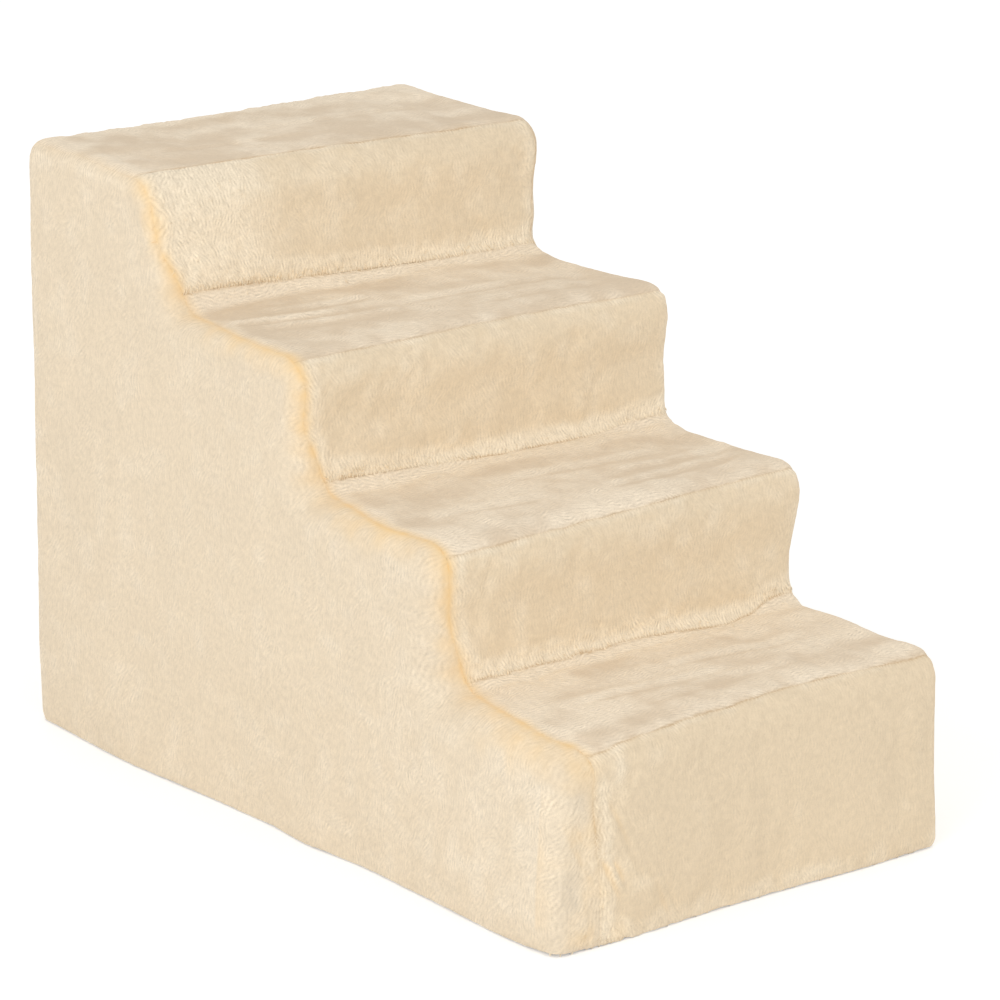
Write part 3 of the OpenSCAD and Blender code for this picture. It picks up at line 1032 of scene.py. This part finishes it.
def groupMaterial(name, group, values, bump, roughness, masks=(), **look):
    # colour and relief, and wear where the group gives it, come from a shared group
    material, tree, shader = newMaterial(name, roughness, **look)
    inputs = dict(values)
    for socket in masks:
        mask = addNode(tree, "ShaderNodeAttribute", attribute_name=socket.lower())
        inputs[socket] = mask.outputs["Fac"]
    shared = addNode(tree, "ShaderNodeGroup", inputs, node_tree=group)
    setInputs(tree, shader, {"Base Color": shared.outputs["Color"]})
    if "Roughness" in shared.outputs:
        setInputs(tree, shader, {"Roughness": shared.outputs["Roughness"]})
    addBump(tree, shader, shared.outputs["Height"], *bump)
    return material


def plushMaterial(name):
    masks = ("Ruffle", "Glow", "Crease")
    return groupMaterial(name, pileTree, plushToneAndFaceShade[name], (0.4, 0.001), 0.93, masks, sheen=0.12)


def wovenMaterial(name, thread, gap, count):
    values = {"Thread": (*thread, 1), "Gap": (*gap, 1), "Count": count}
    return groupMaterial(name, weaveTree, values, (0.5, 0.0003), 0.85, sheen=0.05)


def wornMaterial(name, base, worn, amount, metal):
    values = {"Base": (*base, 1), "Worn": (*worn, 1), "Amount": amount}
    return groupMaterial(name, wearTree, values, (0.2, 0.0001), 0.4, metal=metal)


def foamMaterial():
    material, tree, shader = newMaterial("cutFoam", 0.95)
    body = addNode(tree, "ShaderNodeTexCoord").outputs["Object"]
    pores = addNode(tree, "ShaderNodeTexVoronoi", {"Vector": body, "Scale": 420.0}).outputs["Distance"]
    share = addRange(tree, pores, 0.1, 0.45, 0.0, 1.0)
    color = addMix(tree, share, (0.72, 0.68, 0.56, 1), (0.90, 0.88, 0.79, 1))
    setInputs(tree, shader, {"Base Color": color})
    addBump(tree, shader, pores, 0.6, 0.0006)
    return material


materials = {name: plushMaterial(name) for name in plushToneAndFaceShade}
materials["canvas"] = wovenMaterial("baseCanvas", (0.62, 0.51, 0.37), (0.40, 0.31, 0.21), 900.0)
materials["tape"] = wovenMaterial("zipTapeWeave", (0.78, 0.65, 0.47), (0.56, 0.44, 0.29), 1600.0)
materials["coil"] = wornMaterial("coilNylon", (0.74, 0.62, 0.45), (0.82, 0.72, 0.56), 0.4, 0.0)
materials["metal"] = wornMaterial("paintedZinc", (0.62, 0.52, 0.38), (0.70, 0.66, 0.60), 0.35, 0.3)
materials["dot"] = wornMaterial("gripDot", (0.80, 0.74, 0.63), (0.70, 0.63, 0.52), 0.3, 0.0)
materials["foam"] = foamMaterial()


def paint(piece, finish):
    piece.data.materials.append(materials[finish])


print("finishes mixed")


# plush relief: sewn creases, folds, pleats at the low front corner, ruffled locks and a light nap

relief = {
    "crease": 0.55 * mm,
    "creaseWidth": 2.2 * mm,
    "puff": 0.6 * mm,
    "lock": 0.75 * mm,
    "nap": 0.16 * mm,
    "uneven": 0.8 * mm,
}
cornerPleats = {
    "height": 2.1 * mm,
    "wide": 10 * mm,
    "long": 40 * mm,
    "x": -0.162,
    "spread": 0.038,
    "fromHeight": 0.08,
    "toHeight": 0.15,
    "lean": 0.5,
}
# how long and wide the locks are, how much they turn and lift, and how many there are in each place
tufts = {
    "length": 5.5 * mm,
    "wide": 6.5 * mm,
    "spread": 0.5,
    "lift": 0.10,
    "footLift": 0.18,
    "atCorner": 0.30,
    "atFrontHem": 0.06,
    "atFoot": 0.40,
    "atLeft": 0.10,
    "atRight": 0.25,
    "onTopRiser": 0.20,
    "atNose": 0.22,
}
tuftLuck = np.random.default_rng(21)
tuftRoots = []
# folds: x from, x to, depth behind the nose seam at both ends, height and width, all in mm
treadFolds = {
    "tread_panel_1": [(-150, 60, 78, 62, 1.4, 7), (-40, 170, 96, 88, 1.1, 8), (-120, 120, 42, 50, 0.9, 9)],
    "tread_panel_2": [
        (0, 190, 40, 52, 1.7, 7), (40, 180, 66, 74, 1.4, 7),
        (-160, -20, 70, 60, 1.1, 9), (-60, 150, 108, 100, 1.1, 9),
    ],
    "tread_panel_3": [
        (-190, -60, 116, 78, 3.0, 6), (-180, -20, 88, 58, 2.6, 7), (-60, 190, 78, 84, 1.2, 8),
        (-150, -20, 126, 112, 1.8, 7), (0, 180, 44, 50, 1.0, 9),
    ],
    "tread_panel_4": [(-170, 20, 60, 54, 0.9, 8), (-60, 180, 90, 96, 0.9, 9)],
}
# how much each seam across the stairs shows
seamShow = {
    "hem": 1.0, "nose1": 0.85, "inner2": 1.0, "nose2": 0.55, "inner3": 1.0, "nose3": 0.5, "inner4": 0.95,
    "nose4": 0.7, "back": 0.5,
}
# how strong the painted warm glow of light through the pile is along the left seam
paintedGlowAlong = {
    0: 0, 0.35: 0.05, 0.55: 0.2, 0.8: 0.6, 1: 1.2, 1.3: 1.1, 1.7: 0.95, 2: 0.95, 2.5: 1.0, 3: 1.15,
    3.3: 1.0, 3.7: 0.9, 4: 0.9, 4.5: 0.9, 5: 1.1, 5.3: 0.85, 5.7: 0.8, 6: 0.8, 6.5: 0.9, 7: 0.9,
    7.12: 0.25, 7.8: 0.12, 8: 0.15, 8.1: 0.0, 9: 0,
}
# and how far it reaches on the side panel, in mm
paintedGlowReach = {
    0: 4, 0.7: 6, 1: 19, 1.4: 18, 2: 9, 2.5: 8, 3: 10, 3.5: 12, 4: 9, 4.5: 8, 5: 9, 5.5: 11, 6: 8,
    6.5: 7, 7: 8, 9: 8,
}


def foldHeight(name, x, depth):
    total = np.zeros(len(x))
    for start, stop, depthStart, depthStop, height, width in treadFolds.get(name, []):
        t = (x / mm - start) / (stop - start)
        middle = depthStart + (depthStop - depthStart) * t + 3 * np.sin(t * 5 + height)
        d = depth / mm - middle
        fade = ramp(t, 0, 0.25) * (1 - ramp(t, 0.75, 1))
        total += height * fade * (hill(d, 0, width) - 0.55 * hill(d, -width * 1.25, width * 0.7))
    return total * mm


def lockNoise(uv, wide, long, seed):
    return 1 - 2 * np.abs(softNoise(onPlane(uv / (wide, long)), 1.0, seed))


def shapePlush(name, piece, facts):
    # moves the fine cloth along its normals and writes the masks that the finish reads
    points, normals, uv, along = readPoints(piece), readNormals(piece), facts["uv"], facts["along"]
    x, y, z = points.T
    flat, cross, nose = onPlane(uv), name in crossPanels, marks["nose1"]
    patch = softNoise(points, 17 * mm, 1)
    broken = np.clip(0.68 + 0.6 * softNoise(points, 21 * mm, 13), 0.2, 1)
    clumps = softNoise(flat / (5.5, 11, 1), mm, 2) + 0.7 * softNoise(flat / (3, 6, 1), mm, 4)
    locks = 0.7 * clumps + 0.3 * lockNoise(uv, 4.6 * mm, 10 * mm, 4)
    folds = 0 * along
    if cross:
        low, high, left, right = (facts[key] for key in ("fromLow", "fromHigh", "fromLeft", "fromRight"))
        seam = np.minimum(low + (name == "riser_panel_1"), high)
        sideLine = 0.12 * hill(left, 0, 1.6 * mm)
        sideLine += (0.8 if name == "riser_panel_4" else 0.3) * hill(right, 0, 1.6 * mm)
        rim = np.minimum(seam, np.minimum(left, right))
        broken = broken * np.where(low < high, *(seamShow[mark] for mark in crossPanels[name]))
        if "riser" in name:
            ruffle = fall(low, 7, 24) + 0.7 * fall(left, 5, 22)
            ruffle += 0.3 * fall(high, 2, 9) + 0.3 * fall(right, 6, 18)
            if name == "riser_panel_4":
                ruffle += 0.8 * fall(left + 30 * mm * patch, 60, 135)
            if name == "riser_panel_1":
                sideLine += 0.4 * hill(left, 3 * mm, 5 * mm) * broken * hill(along, nose - 62 * mm, 30 * mm)
                tuck = hill(x, 0.178, 0.010) - hill(x, 0.158 + 0.06 * (z - 0.1), 0.011)
                folds = 1.4 * mm * tuck * ramp(z, 0.02, 0.06) * fall(z, 100, 150)
                ruffle += (0.45 + 0.7 * patch) * fall(left, 12, 75) - 0.5 * fall(low, 7, 24) - 0.06
            else:
                # risers 2 to 4 get a paler tone: painted light that makes up for the tan light bounced onto
                # them from the treads
                ruffle += 0.16
        else:
            folds = foldHeight(name, x, low)
            ruffle = 0.9 * fall(high, 6, 26) + 0.5 * fall(left, 4, 18)
            stirred = 0.3 + 0.5 * softNoise(flat * (1, 2.4, 1), 60 * mm, 9)
            ruffle += stirred + (0.30 if name[-1] in "12" else 0.05)
            ruffle += 0.35 * ramp(folds, 0.3 * mm, 1.6 * mm) - 0.4 * ramp(-folds, 0.1 * mm, 0.6 * mm)
        # crease mask: a dark seam line plus painted shade in the seam groove
        creaseLineAndShade = 0.95 * hill(seam, 0, 1.5 * mm) * broken + sideLine
        groove = hill(seam, 0, relief["creaseWidth"]) * broken + 0.6 * sideLine
    else:
        seam = left = rim = facts["gap"]
        ruffle = 0.4 * fall(seam, 4, 15) + 0.12 + 0.22 * ramp(-y, -0.05, 0.32)
        line = 0.3
        if name == "left_side_panel":
            strip = (1 - ramp(along, nose - 50 * mm, nose - 8 * mm)) * fall(seam, 30, 46)
            ruffle += (0.60 + 0.55 * patch - ruffle) * strip
            line = 0.10 + 0.7 * hill(along, nose - 45 * mm, 35 * mm)
        creaseLineAndShade = line * hill(seam, 0, 2 * mm) * broken
        groove = 0.6 * creaseLineAndShade
        if "zip" in facts:
            # the lips of the plush turn in towards the zip's tapes
            lip, foot = np.abs(facts["zip"]) - zipPath["gap"] / 2, zipPath["low"]
            groove += 2.6 * hill(lip, 0, 2.6 * mm) * ramp(z, foot - 3 * mm, foot + 3 * mm)
    leant = x + cornerPleats["lean"] * (z - 0.10)
    pleated = lockNoise(np.column_stack([leant, z]), cornerPleats["wide"], cornerPleats["long"], 8)
    lowDown = 1 - ramp(z, cornerPleats["fromHeight"], cornerPleats["toHeight"])
    pleats = cornerPleats["height"] * pleated * lowDown
    pleats *= hill(leant, cornerPleats["x"], cornerPleats["spread"]) * (y < stepY[0] + 12 * mm)
    corner = hill(x, -0.175, 0.045) * fall(z, 110, 150) * (y < stepY[0] + 24 * mm)
    ruffle = np.clip(ruffle + 0.3 * patch, 0, 1)
    ends = ramp(rim, 0, 4 * mm) * 0.75 + 0.25
    move = folds + pleats + relief["puff"] * hill(seam, 6.5 * mm, 3.5 * mm) * (0.6 + 0.4 * patch) * cross
    ruffled = relief["lock"] * (1 + 0.9 * corner) * ruffle * locks * ends
    move += ruffled + relief["nap"] * softNoise(points, 4.2 * mm, 6) * ends
    move += relief["uneven"] * softNoise(points, 55 * mm, 7) - relief["crease"] * groove
    points = points + normals * move[:, None]
    writeAbove(piece, points, 0.4 * mm)
    spread = softNoise(points, 12 * mm, 8)
    # glow mask: a painted warm glow of light through the pile along the left seam, in pleat valleys and at
    # the low front corner
    paintedGlow = alongMarks(along, paintedGlowAlong) * (name != "right_side_panel")
    reach = 6 * mm if cross else alongMarks(along, paintedGlowReach) * mm
    core = 0.45 * hill(left, 0, 2 * mm) * (1 - 0.8 * hill(along, nose, 45 * mm))
    core += 0.65 * hill(left, 0, reach * (1 + 0.35 * spread)) * (0.5 if name == "riser_panel_1" else 1.0)
    # the pleats' valleys get painted glow, and painted shade through the crease mask
    valley = np.clip(-pleats / cornerPleats["height"], 0, 1)
    glow = np.clip(paintedGlow * core * (0.8 + 0.2 * spread) + 0.8 * valley + (0.12 + 0.4 * patch) * corner, 0, 1)
    writeMask(piece, "ruffle", ruffle)
    writeMask(piece, "glow", glow)
    writeMask(piece, "crease", np.clip(creaseLineAndShade + 0.5 * valley**2, 0, 1))
    pickTufts(name, piece, facts, ruffle, glow)


def pickTufts(name, piece, facts, ruffle, glow):
    # seeded roots for the locks of pile that stand out along the seams and at the low front corner
    points, normals = readPoints(piece), readNormals(piece)
    x, y, z = points.T
    atCorner = hill(x, -0.165, 0.035) * fall(z, 40, 130) * (y < stepY[0] + 10 * mm)
    weight = tufts["atCorner"] * atCorner * fall(z, 8, 20)
    lift = tufts["lift"] + tufts["lift"] * atCorner
    if name in crossPanels:
        low, high, left, right = (facts[key] for key in ("fromLow", "fromHigh", "fromLeft", "fromRight"))
        if name.startswith("riser"):
            atLow = tufts["atFrontHem" if name[-1] == "1" else "atFoot"]
            weight += atLow * fall(low, 4, 15) + tufts["atLeft"] * fall(left, 3, 12)
            lift += tufts["footLift"] * fall(low, 4, 15) * (name[-1] != "1")
            if name[-1] == "4":
                weight += tufts["atRight"] * fall(right, 2, 9) * fall(low, 20, 50)
                weight += tufts["onTopRiser"] * ruffle * fall(left, 60, 120)
            weight *= ramp(-normals[:, 1], 0.6, 0.85)
        elif name[-1] != "4":
            weight += tufts["atNose"] * fall(high, 3, 11)
    elif name != "left_side_panel":
        return
    chosen = np.nonzero(tuftLuck.random(len(weight)) < weight)[0]
    flow = (0.0, -1.0, 0.0) if name.startswith("tread") else (0.0, 0.0, -1.0)
    roots = {"point": points, "normal": normals, "uv": facts["uv"]}
    roots.update({"ruffle": ruffle, "glow": glow, "lift": lift})
    tuftRoots.append({key: values[chosen] for key, values in roots.items()})
    tuftRoots[-1]["flow"] = np.tile(flow, (len(chosen), 1))


def makePanel(name):
    piece, facts = panelPiece(name)
    if name.startswith("back_"):
        facts["along"] = facts["gap"] * 0 + marks["end"]
    shapePlush(name, piece, facts)
    paint(piece, name[:5] + "Plush" if name in crossPanels else "sidePlush")
    applyModifier(piece, "SOLIDIFY", thickness=cover["thick"], offset=-1)
    writeAbove(piece, readPoints(piece), 0.3 * mm)
    pick(piece)
    bpy.ops.object.shade_smooth_by_angle(angle=math.radians(60))
    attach(piece, "stairs")
    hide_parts(name)


for name in coverPanels:
    makePanel(name)
print("cover sewn,", len(coverPanels), "panels")


# locks of longer pile along the seams, modelled once and copied

def repeatShape(name, shape, origins, axes):
    # one mesh with a copy of the shape at each origin, turned by its own three axes
    points = readPoints(shape)
    faces = [list(p.vertices) for p in shape.data.polygons]
    placed = origins[:, None] + np.einsum("vi,nij->nvj", points, axes)
    count = len(points)
    mesh = bpy.data.meshes.new(name)
    copies = [[v + count * k for v in f] for k in range(len(origins)) for f in faces]
    mesh.from_pydata(placed.reshape(-1, 3).tolist(), [], copies)
    piece = addObject(name, mesh)
    bpy.data.objects.remove(shape)
    pick(piece)
    bpy.ops.object.shade_smooth()
    return piece


def lockShape():
    # a tapered lock one unit long along z, bent a little towards x
    deselectAll()
    bpy.ops.mesh.primitive_circle_add(vertices=4, radius=0.11, fill_type="NGON", location=(0, 0, 0))
    shape = bpy.context.object
    bpy.ops.object.mode_set(mode="EDIT")
    bpy.ops.mesh.select_all(action="SELECT")
    for step, size, sway in ((0.36, 0.95, 0.02), (0.34, 0.6, 0.07), (0.3, 0.1, 0.13)):
        bpy.ops.mesh.extrude_region_move(TRANSFORM_OT_translate={"value": (sway, 0, step)})
        bpy.ops.transform.resize(value=(size, size, 1))
    bpy.ops.mesh.select_all(action="SELECT")
    bpy.ops.mesh.normals_make_consistent(inside=False)
    bpy.ops.object.mode_set(mode="OBJECT")
    return shape


def makeTufts():
    roots = {key: np.concatenate([r[key] for r in tuftRoots]) for key in tuftRoots[0]}
    n, flow = roots["normal"], roots["flow"]
    count = len(n)
    flow = flow - n * (flow * n).sum(1)[:, None]
    flow /= np.maximum(np.linalg.norm(flow, axis=1), 1e-6)[:, None]
    across = np.cross(n, flow)
    turn = tuftLuck.normal(0, tufts["spread"], count)[:, None]
    lift = (roots["lift"] * tuftLuck.uniform(0.7, 1.3, count))[:, None]
    heading = np.cos(lift) * (np.cos(turn) * flow + np.sin(turn) * across) + np.sin(lift) * n
    side = np.cross(heading, n)
    side /= np.linalg.norm(side, axis=1)[:, None]
    top = np.cross(side, heading)
    long = tufts["length"] * tuftLuck.uniform(0.6, 1.25, count)
    wide = tufts["wide"] * tuftLuck.uniform(0.7, 1.2, count)
    axes = np.stack([-top * wide[:, None] * 0.8, side * wide[:, None], heading * long[:, None]], 1)
    shape = lockShape()
    each = len(shape.data.vertices)
    piece = repeatShape("seam_tufts", shape, roots["point"] - n * 0.45 * mm, axes)
    points = readPoints(piece)
    writeAbove(piece, points, 0.3 * mm)
    tone = np.clip(roots["ruffle"] * 0.5 + tuftLuck.uniform(0.35, 0.75, count), 0, 1)
    writeMask(piece, "ruffle", np.repeat(tone, each))
    # the locks carry the painted glow of the pile they stand on
    writeMask(piece, "glow", np.repeat(roots["glow"] * 0.8, each))
    writeMask(piece, "crease", np.zeros(len(points)))
    rootPlace = np.repeat(roots["point"][:, [0, 2]], each, 0)
    writeUv(piece, np.repeat(roots["uv"], each, 0) + (points[:, [0, 2]] - rootPlace))
    paint(piece, "riserPlush")
    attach(piece, "stairs")
    print("locks of pile:", count)


makeTufts()


# the zip: woven tapes, coils of nylon loops, end clips, slider and pull tab

def zipPlace(run, offset):
    # x, z and the outward direction on the zip's path, run metres from its lower left end
    half, top, corner = zipPath["x"], zipPath["top"], zipPath["corner"]
    rise, turn, width = top - corner - zipPath["low"], corner * math.pi / 2, 2 * (half - corner)
    run = np.asarray(run, float)
    total = 2 * rise + 2 * turn + width
    mirrored = run > total / 2
    r = np.where(mirrored, total - run, run)
    angle = math.pi - np.clip((r - rise) / corner, 0, math.pi / 2)
    outX, outZ = np.cos(angle), np.sin(angle)
    bent, start = r < rise + turn, corner - half
    x = np.where(r < rise, -half, np.where(bent, start + corner * outX, start + (r - rise - turn)))
    z = np.where(r < rise, zipPath["low"] + r, np.where(bent, top - corner + corner * outZ, top))
    x, outX = np.where(mirrored, -x, x), np.where(mirrored, -outX, outX)
    return x + offset * outX, z + offset * outZ, outX, outZ, total


zipLength = zipPlace(0.0, 0.0)[4]


def makeTape(node, side):
    reach = zipPath["gap"] / 2 - zipPath["slit"] / 2
    piece = gridPiece(node + "_woven", float(zipLength), reach, 1.0 * mm)
    flat = readPoints(piece)
    run, share = (flat[:, 0] + 0.5) * zipLength, flat[:, 1] + 0.5
    offset = side * (zipPath["slit"] / 2 + share * reach)
    x, z = zipPlace(run, offset)[:2]
    sink = zipPath["coilSink"] + zipPath["coilThick"]
    ripple = 0.15 * mm * softNoise(onLine(run), 9 * mm, 5) * share
    writePoints(piece, np.stack([x, backY - sink + ripple, z], -1))
    writeUv(piece, np.stack([run, offset], -1))
    editWhole(piece, bpy.ops.mesh.normals_make_consistent)
    if readNormals(piece)[:, 1].mean() < 0:
        editWhole(piece, bpy.ops.mesh.flip_normals)
    applyModifier(piece, "SOLIDIFY", thickness=zipPath["tapeThick"], offset=-1)
    bpy.ops.object.shade_smooth()
    paint(piece, "tape")
    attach(piece, "stairs")
    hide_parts(node)


coilLoops = {"pitch": 1.25 * mm, "wire": 0.34 * mm, "lean": 0.22}


def makeCoil(node, side):
    wide, deep = zipPath["coilWidth"] / 2 - coilLoops["wire"], zipPath["coilThick"] / 2 - coilLoops["wire"]
    deselectAll()
    sizes = {"major_radius": deep, "minor_radius": coilLoops["wire"]}
    bpy.ops.mesh.primitive_torus_add(major_segments=8, minor_segments=4, location=(0, 0, 0), **sizes)
    loop = bpy.context.object
    points = readPoints(loop)
    points[:, 0] *= (wide + coilLoops["wire"]) / (deep + coilLoops["wire"])
    points[:, 2] += coilLoops["lean"] * points[:, 0]
    writePoints(loop, points)
    count = int(zipLength / coilLoops["pitch"])
    run = (np.arange(count) + 0.5) * zipLength / count
    x, z, outX, outZ, _ = zipPlace(run, side * (zipPath["slit"] / 2 + zipPath["coilWidth"] / 2))
    y = backY - zipPath["coilSink"] - zipPath["coilThick"] / 2 + x * 0
    zero = x * 0
    columns = ((outX, zero, outZ), (zero, zero + 1, zero), (-outZ, zero, outX))
    axes = np.stack([np.stack(column, -1) for column in columns], 1)
    piece = repeatShape(node + "_loops", loop, np.stack([x, y, z], -1), axes)
    paint(piece, "coil")
    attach(piece, "stairs")
    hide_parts(node)


def copySolid(node, ending, *steps):
    # the node's own solid as a new mesh, with its doubled points merged
    piece = nodes[node].copy()
    piece.data = nodes[node].data.copy()
    for key in [k for k in piece.keys() if k.startswith("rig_")]:
        del piece[key]
    piece.parent = None
    piece.name = piece.data.name = node + ending
    bpy.context.scene.collection.objects.link(piece)
    editWhole(piece, lambda: bpy.ops.mesh.remove_doubles(threshold=0.01 * mm), *steps)
    piece.data.materials.clear()
    return piece


def bevelledCopy(node, body, width):
    piece = copySolid(node, "_cast", lambda: bpy.ops.mesh.dissolve_limited(angle_limit=math.radians(3)))
    sharp = {"limit_method": "ANGLE", "angle_limit": math.radians(35)}
    applyModifier(piece, "BEVEL", width=width, segments=2, use_clamp_overlap=True, **sharp)
    bpy.ops.object.shade_smooth_by_angle(angle=math.radians(40))
    paint(piece, "metal")
    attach(piece, body)
    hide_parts(node)


for side, part in ((1, "outer"), (-1, "inner")):
    makeTape("zip_tape_" + part, side)
    makeCoil("zip_coil_" + part, side)
bevelledCopy("zip_end_stops", "stairs", 0.12 * mm)
bevelledCopy("zip_slider", "slider", 0.2 * mm)
bevelledCopy("zip_pull_tab", "pull_tab", 0.2 * mm)
print("zip made,", round(float(zipLength), 3), "m long")


# the base: canvas with grip dots, and the foam inside

base = {
    "cell": 7 * mm,
    "round": 12 * mm,
    "inset": 2.5 * mm,
    "thick": 2.2 * mm,
    "dotRound": 4 * mm,
    "dotHeight": 1.5 * mm,
    "dotPitch": 40 * mm,
    "margin": 24 * mm,
}
foamFit = {"cell": 9 * mm, "inset": 2.5 * mm, "rough": 0.4 * mm, "gap": 7.5 * mm, "round": 16 * mm}


def makeBase():
    low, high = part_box("base_panel")
    middle, half = (low.y + high.y) / 2, (high.y - low.y) / 2
    w, l, r = halfWidth - base["inset"], half - base["inset"], base["round"]
    turn = np.radians(np.linspace(0, 90, 9))
    corner = np.stack([w - r + r * np.cos(turn), l - r + r * np.sin(turn)], -1)
    loop = np.concatenate([corner, corner[::-1] * (-1, 1), -corner, corner[::-1] * (1, -1)]) + (0, middle)
    piece, plane, rim = cutPiece("base_panel_canvas", loop, [], base["cell"])
    p3 = onPlane(plane)
    puckers = 0.3 * mm * softNoise(p3, 30 * mm, 12) * (1 - rim)
    worn = warp(p3 + (0, 0, cover["hemHeight"]))
    writePoints(piece, np.column_stack([worn[:, :2], high.z + puckers]))
    writeUv(piece, plane)
    applyModifier(piece, "SUBSURF", levels=1, render_levels=1)
    applyModifier(piece, "SOLIDIFY", thickness=base["thick"], offset=-1)
    pitch, deep = base["dotPitch"], base["dotHeight"]
    columns, rows = (int((size - base["margin"]) / pitch) for size in (halfWidth, half))
    spots = [(i, j) for i in range(-columns, columns + 1) for j in range(-rows, rows + 1)]
    places = [(i * pitch, middle + j * pitch, 0.0) for i, j in spots]
    deselectAll()
    bpy.ops.mesh.primitive_cylinder_add(vertices=14, radius=base["dotRound"], depth=deep, location=(0, 0, 0))
    dot = bpy.context.object
    applyModifier(dot, "BEVEL", width=0.45 * mm, segments=2, limit_method="ANGLE")
    writePoints(dot, readPoints(dot) + (0, 0, deep / 2))
    dots = repeatShape("gripDots", dot, np.array(places), np.tile(np.eye(3), (len(places), 1, 1)))
    paint(piece, "canvas")
    paint(dots, "dot")
    deselectAll()
    dots.select_set(True)
    piece.select_set(True)
    bpy.context.view_layer.objects.active = piece
    bpy.ops.object.join()
    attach(piece, "stairs")
    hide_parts("base_panel")


def keepInside(points):
    # draws the foam in to lie under the cover, also where the cover's edges are round
    x, along, gap = points[:, 0], nearestOn(points[:, 1:], outlineRows[:, :2], False)[2], foamFit["gap"]
    y, z, inY, inZ = outlineAt(along)
    depth, side = (points[:, 1] - y) * inY + (points[:, 2] - z) * inZ, halfWidth - np.abs(x)
    radius = np.where(x < 0, edgeRound(leftEdge, along), edgeRound(rightEdge, along))
    radius = np.maximum(radius, foamFit["round"])
    a, b = np.maximum(radius - side, 0), np.maximum(radius - np.maximum(depth, gap), 0)
    shrink = np.minimum((radius - gap) / np.maximum(np.hypot(a, b), 1e-6), 1)
    near = (depth < 2 * radius) & (b > 0)
    newDepth = np.where(near, radius - b * shrink, depth)
    newSide = np.where(near & (a > 0), radius - a * shrink, side)
    out = points + np.stack([0 * depth, inY, inZ], -1) * (newDepth - depth)[:, None]
    out[:, 0] = np.sign(x) * (halfWidth - newSide)
    return out


def makeFoam(node):
    piece = copySolid(node, "_core")
    applyModifier(piece, "REMESH", mode="VOXEL", voxel_size=foamFit["cell"])
    applyModifier(piece, "SMOOTH", factor=0.5, iterations=3)
    points, normals = readPoints(piece), readNormals(piece)
    points += normals * (foamFit["rough"] * softNoise(points, 14 * mm, 3) - foamFit["inset"])[:, None]
    writePoints(piece, warp(keepInside(points)))
    bpy.ops.object.shade_smooth()
    paint(piece, "foam")
    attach(piece, "stairs")
    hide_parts(node)


makeBase()
for i in (1, 2, 3, 4):
    makeFoam(f"foam_slab_{i}")
print("base and foam made")
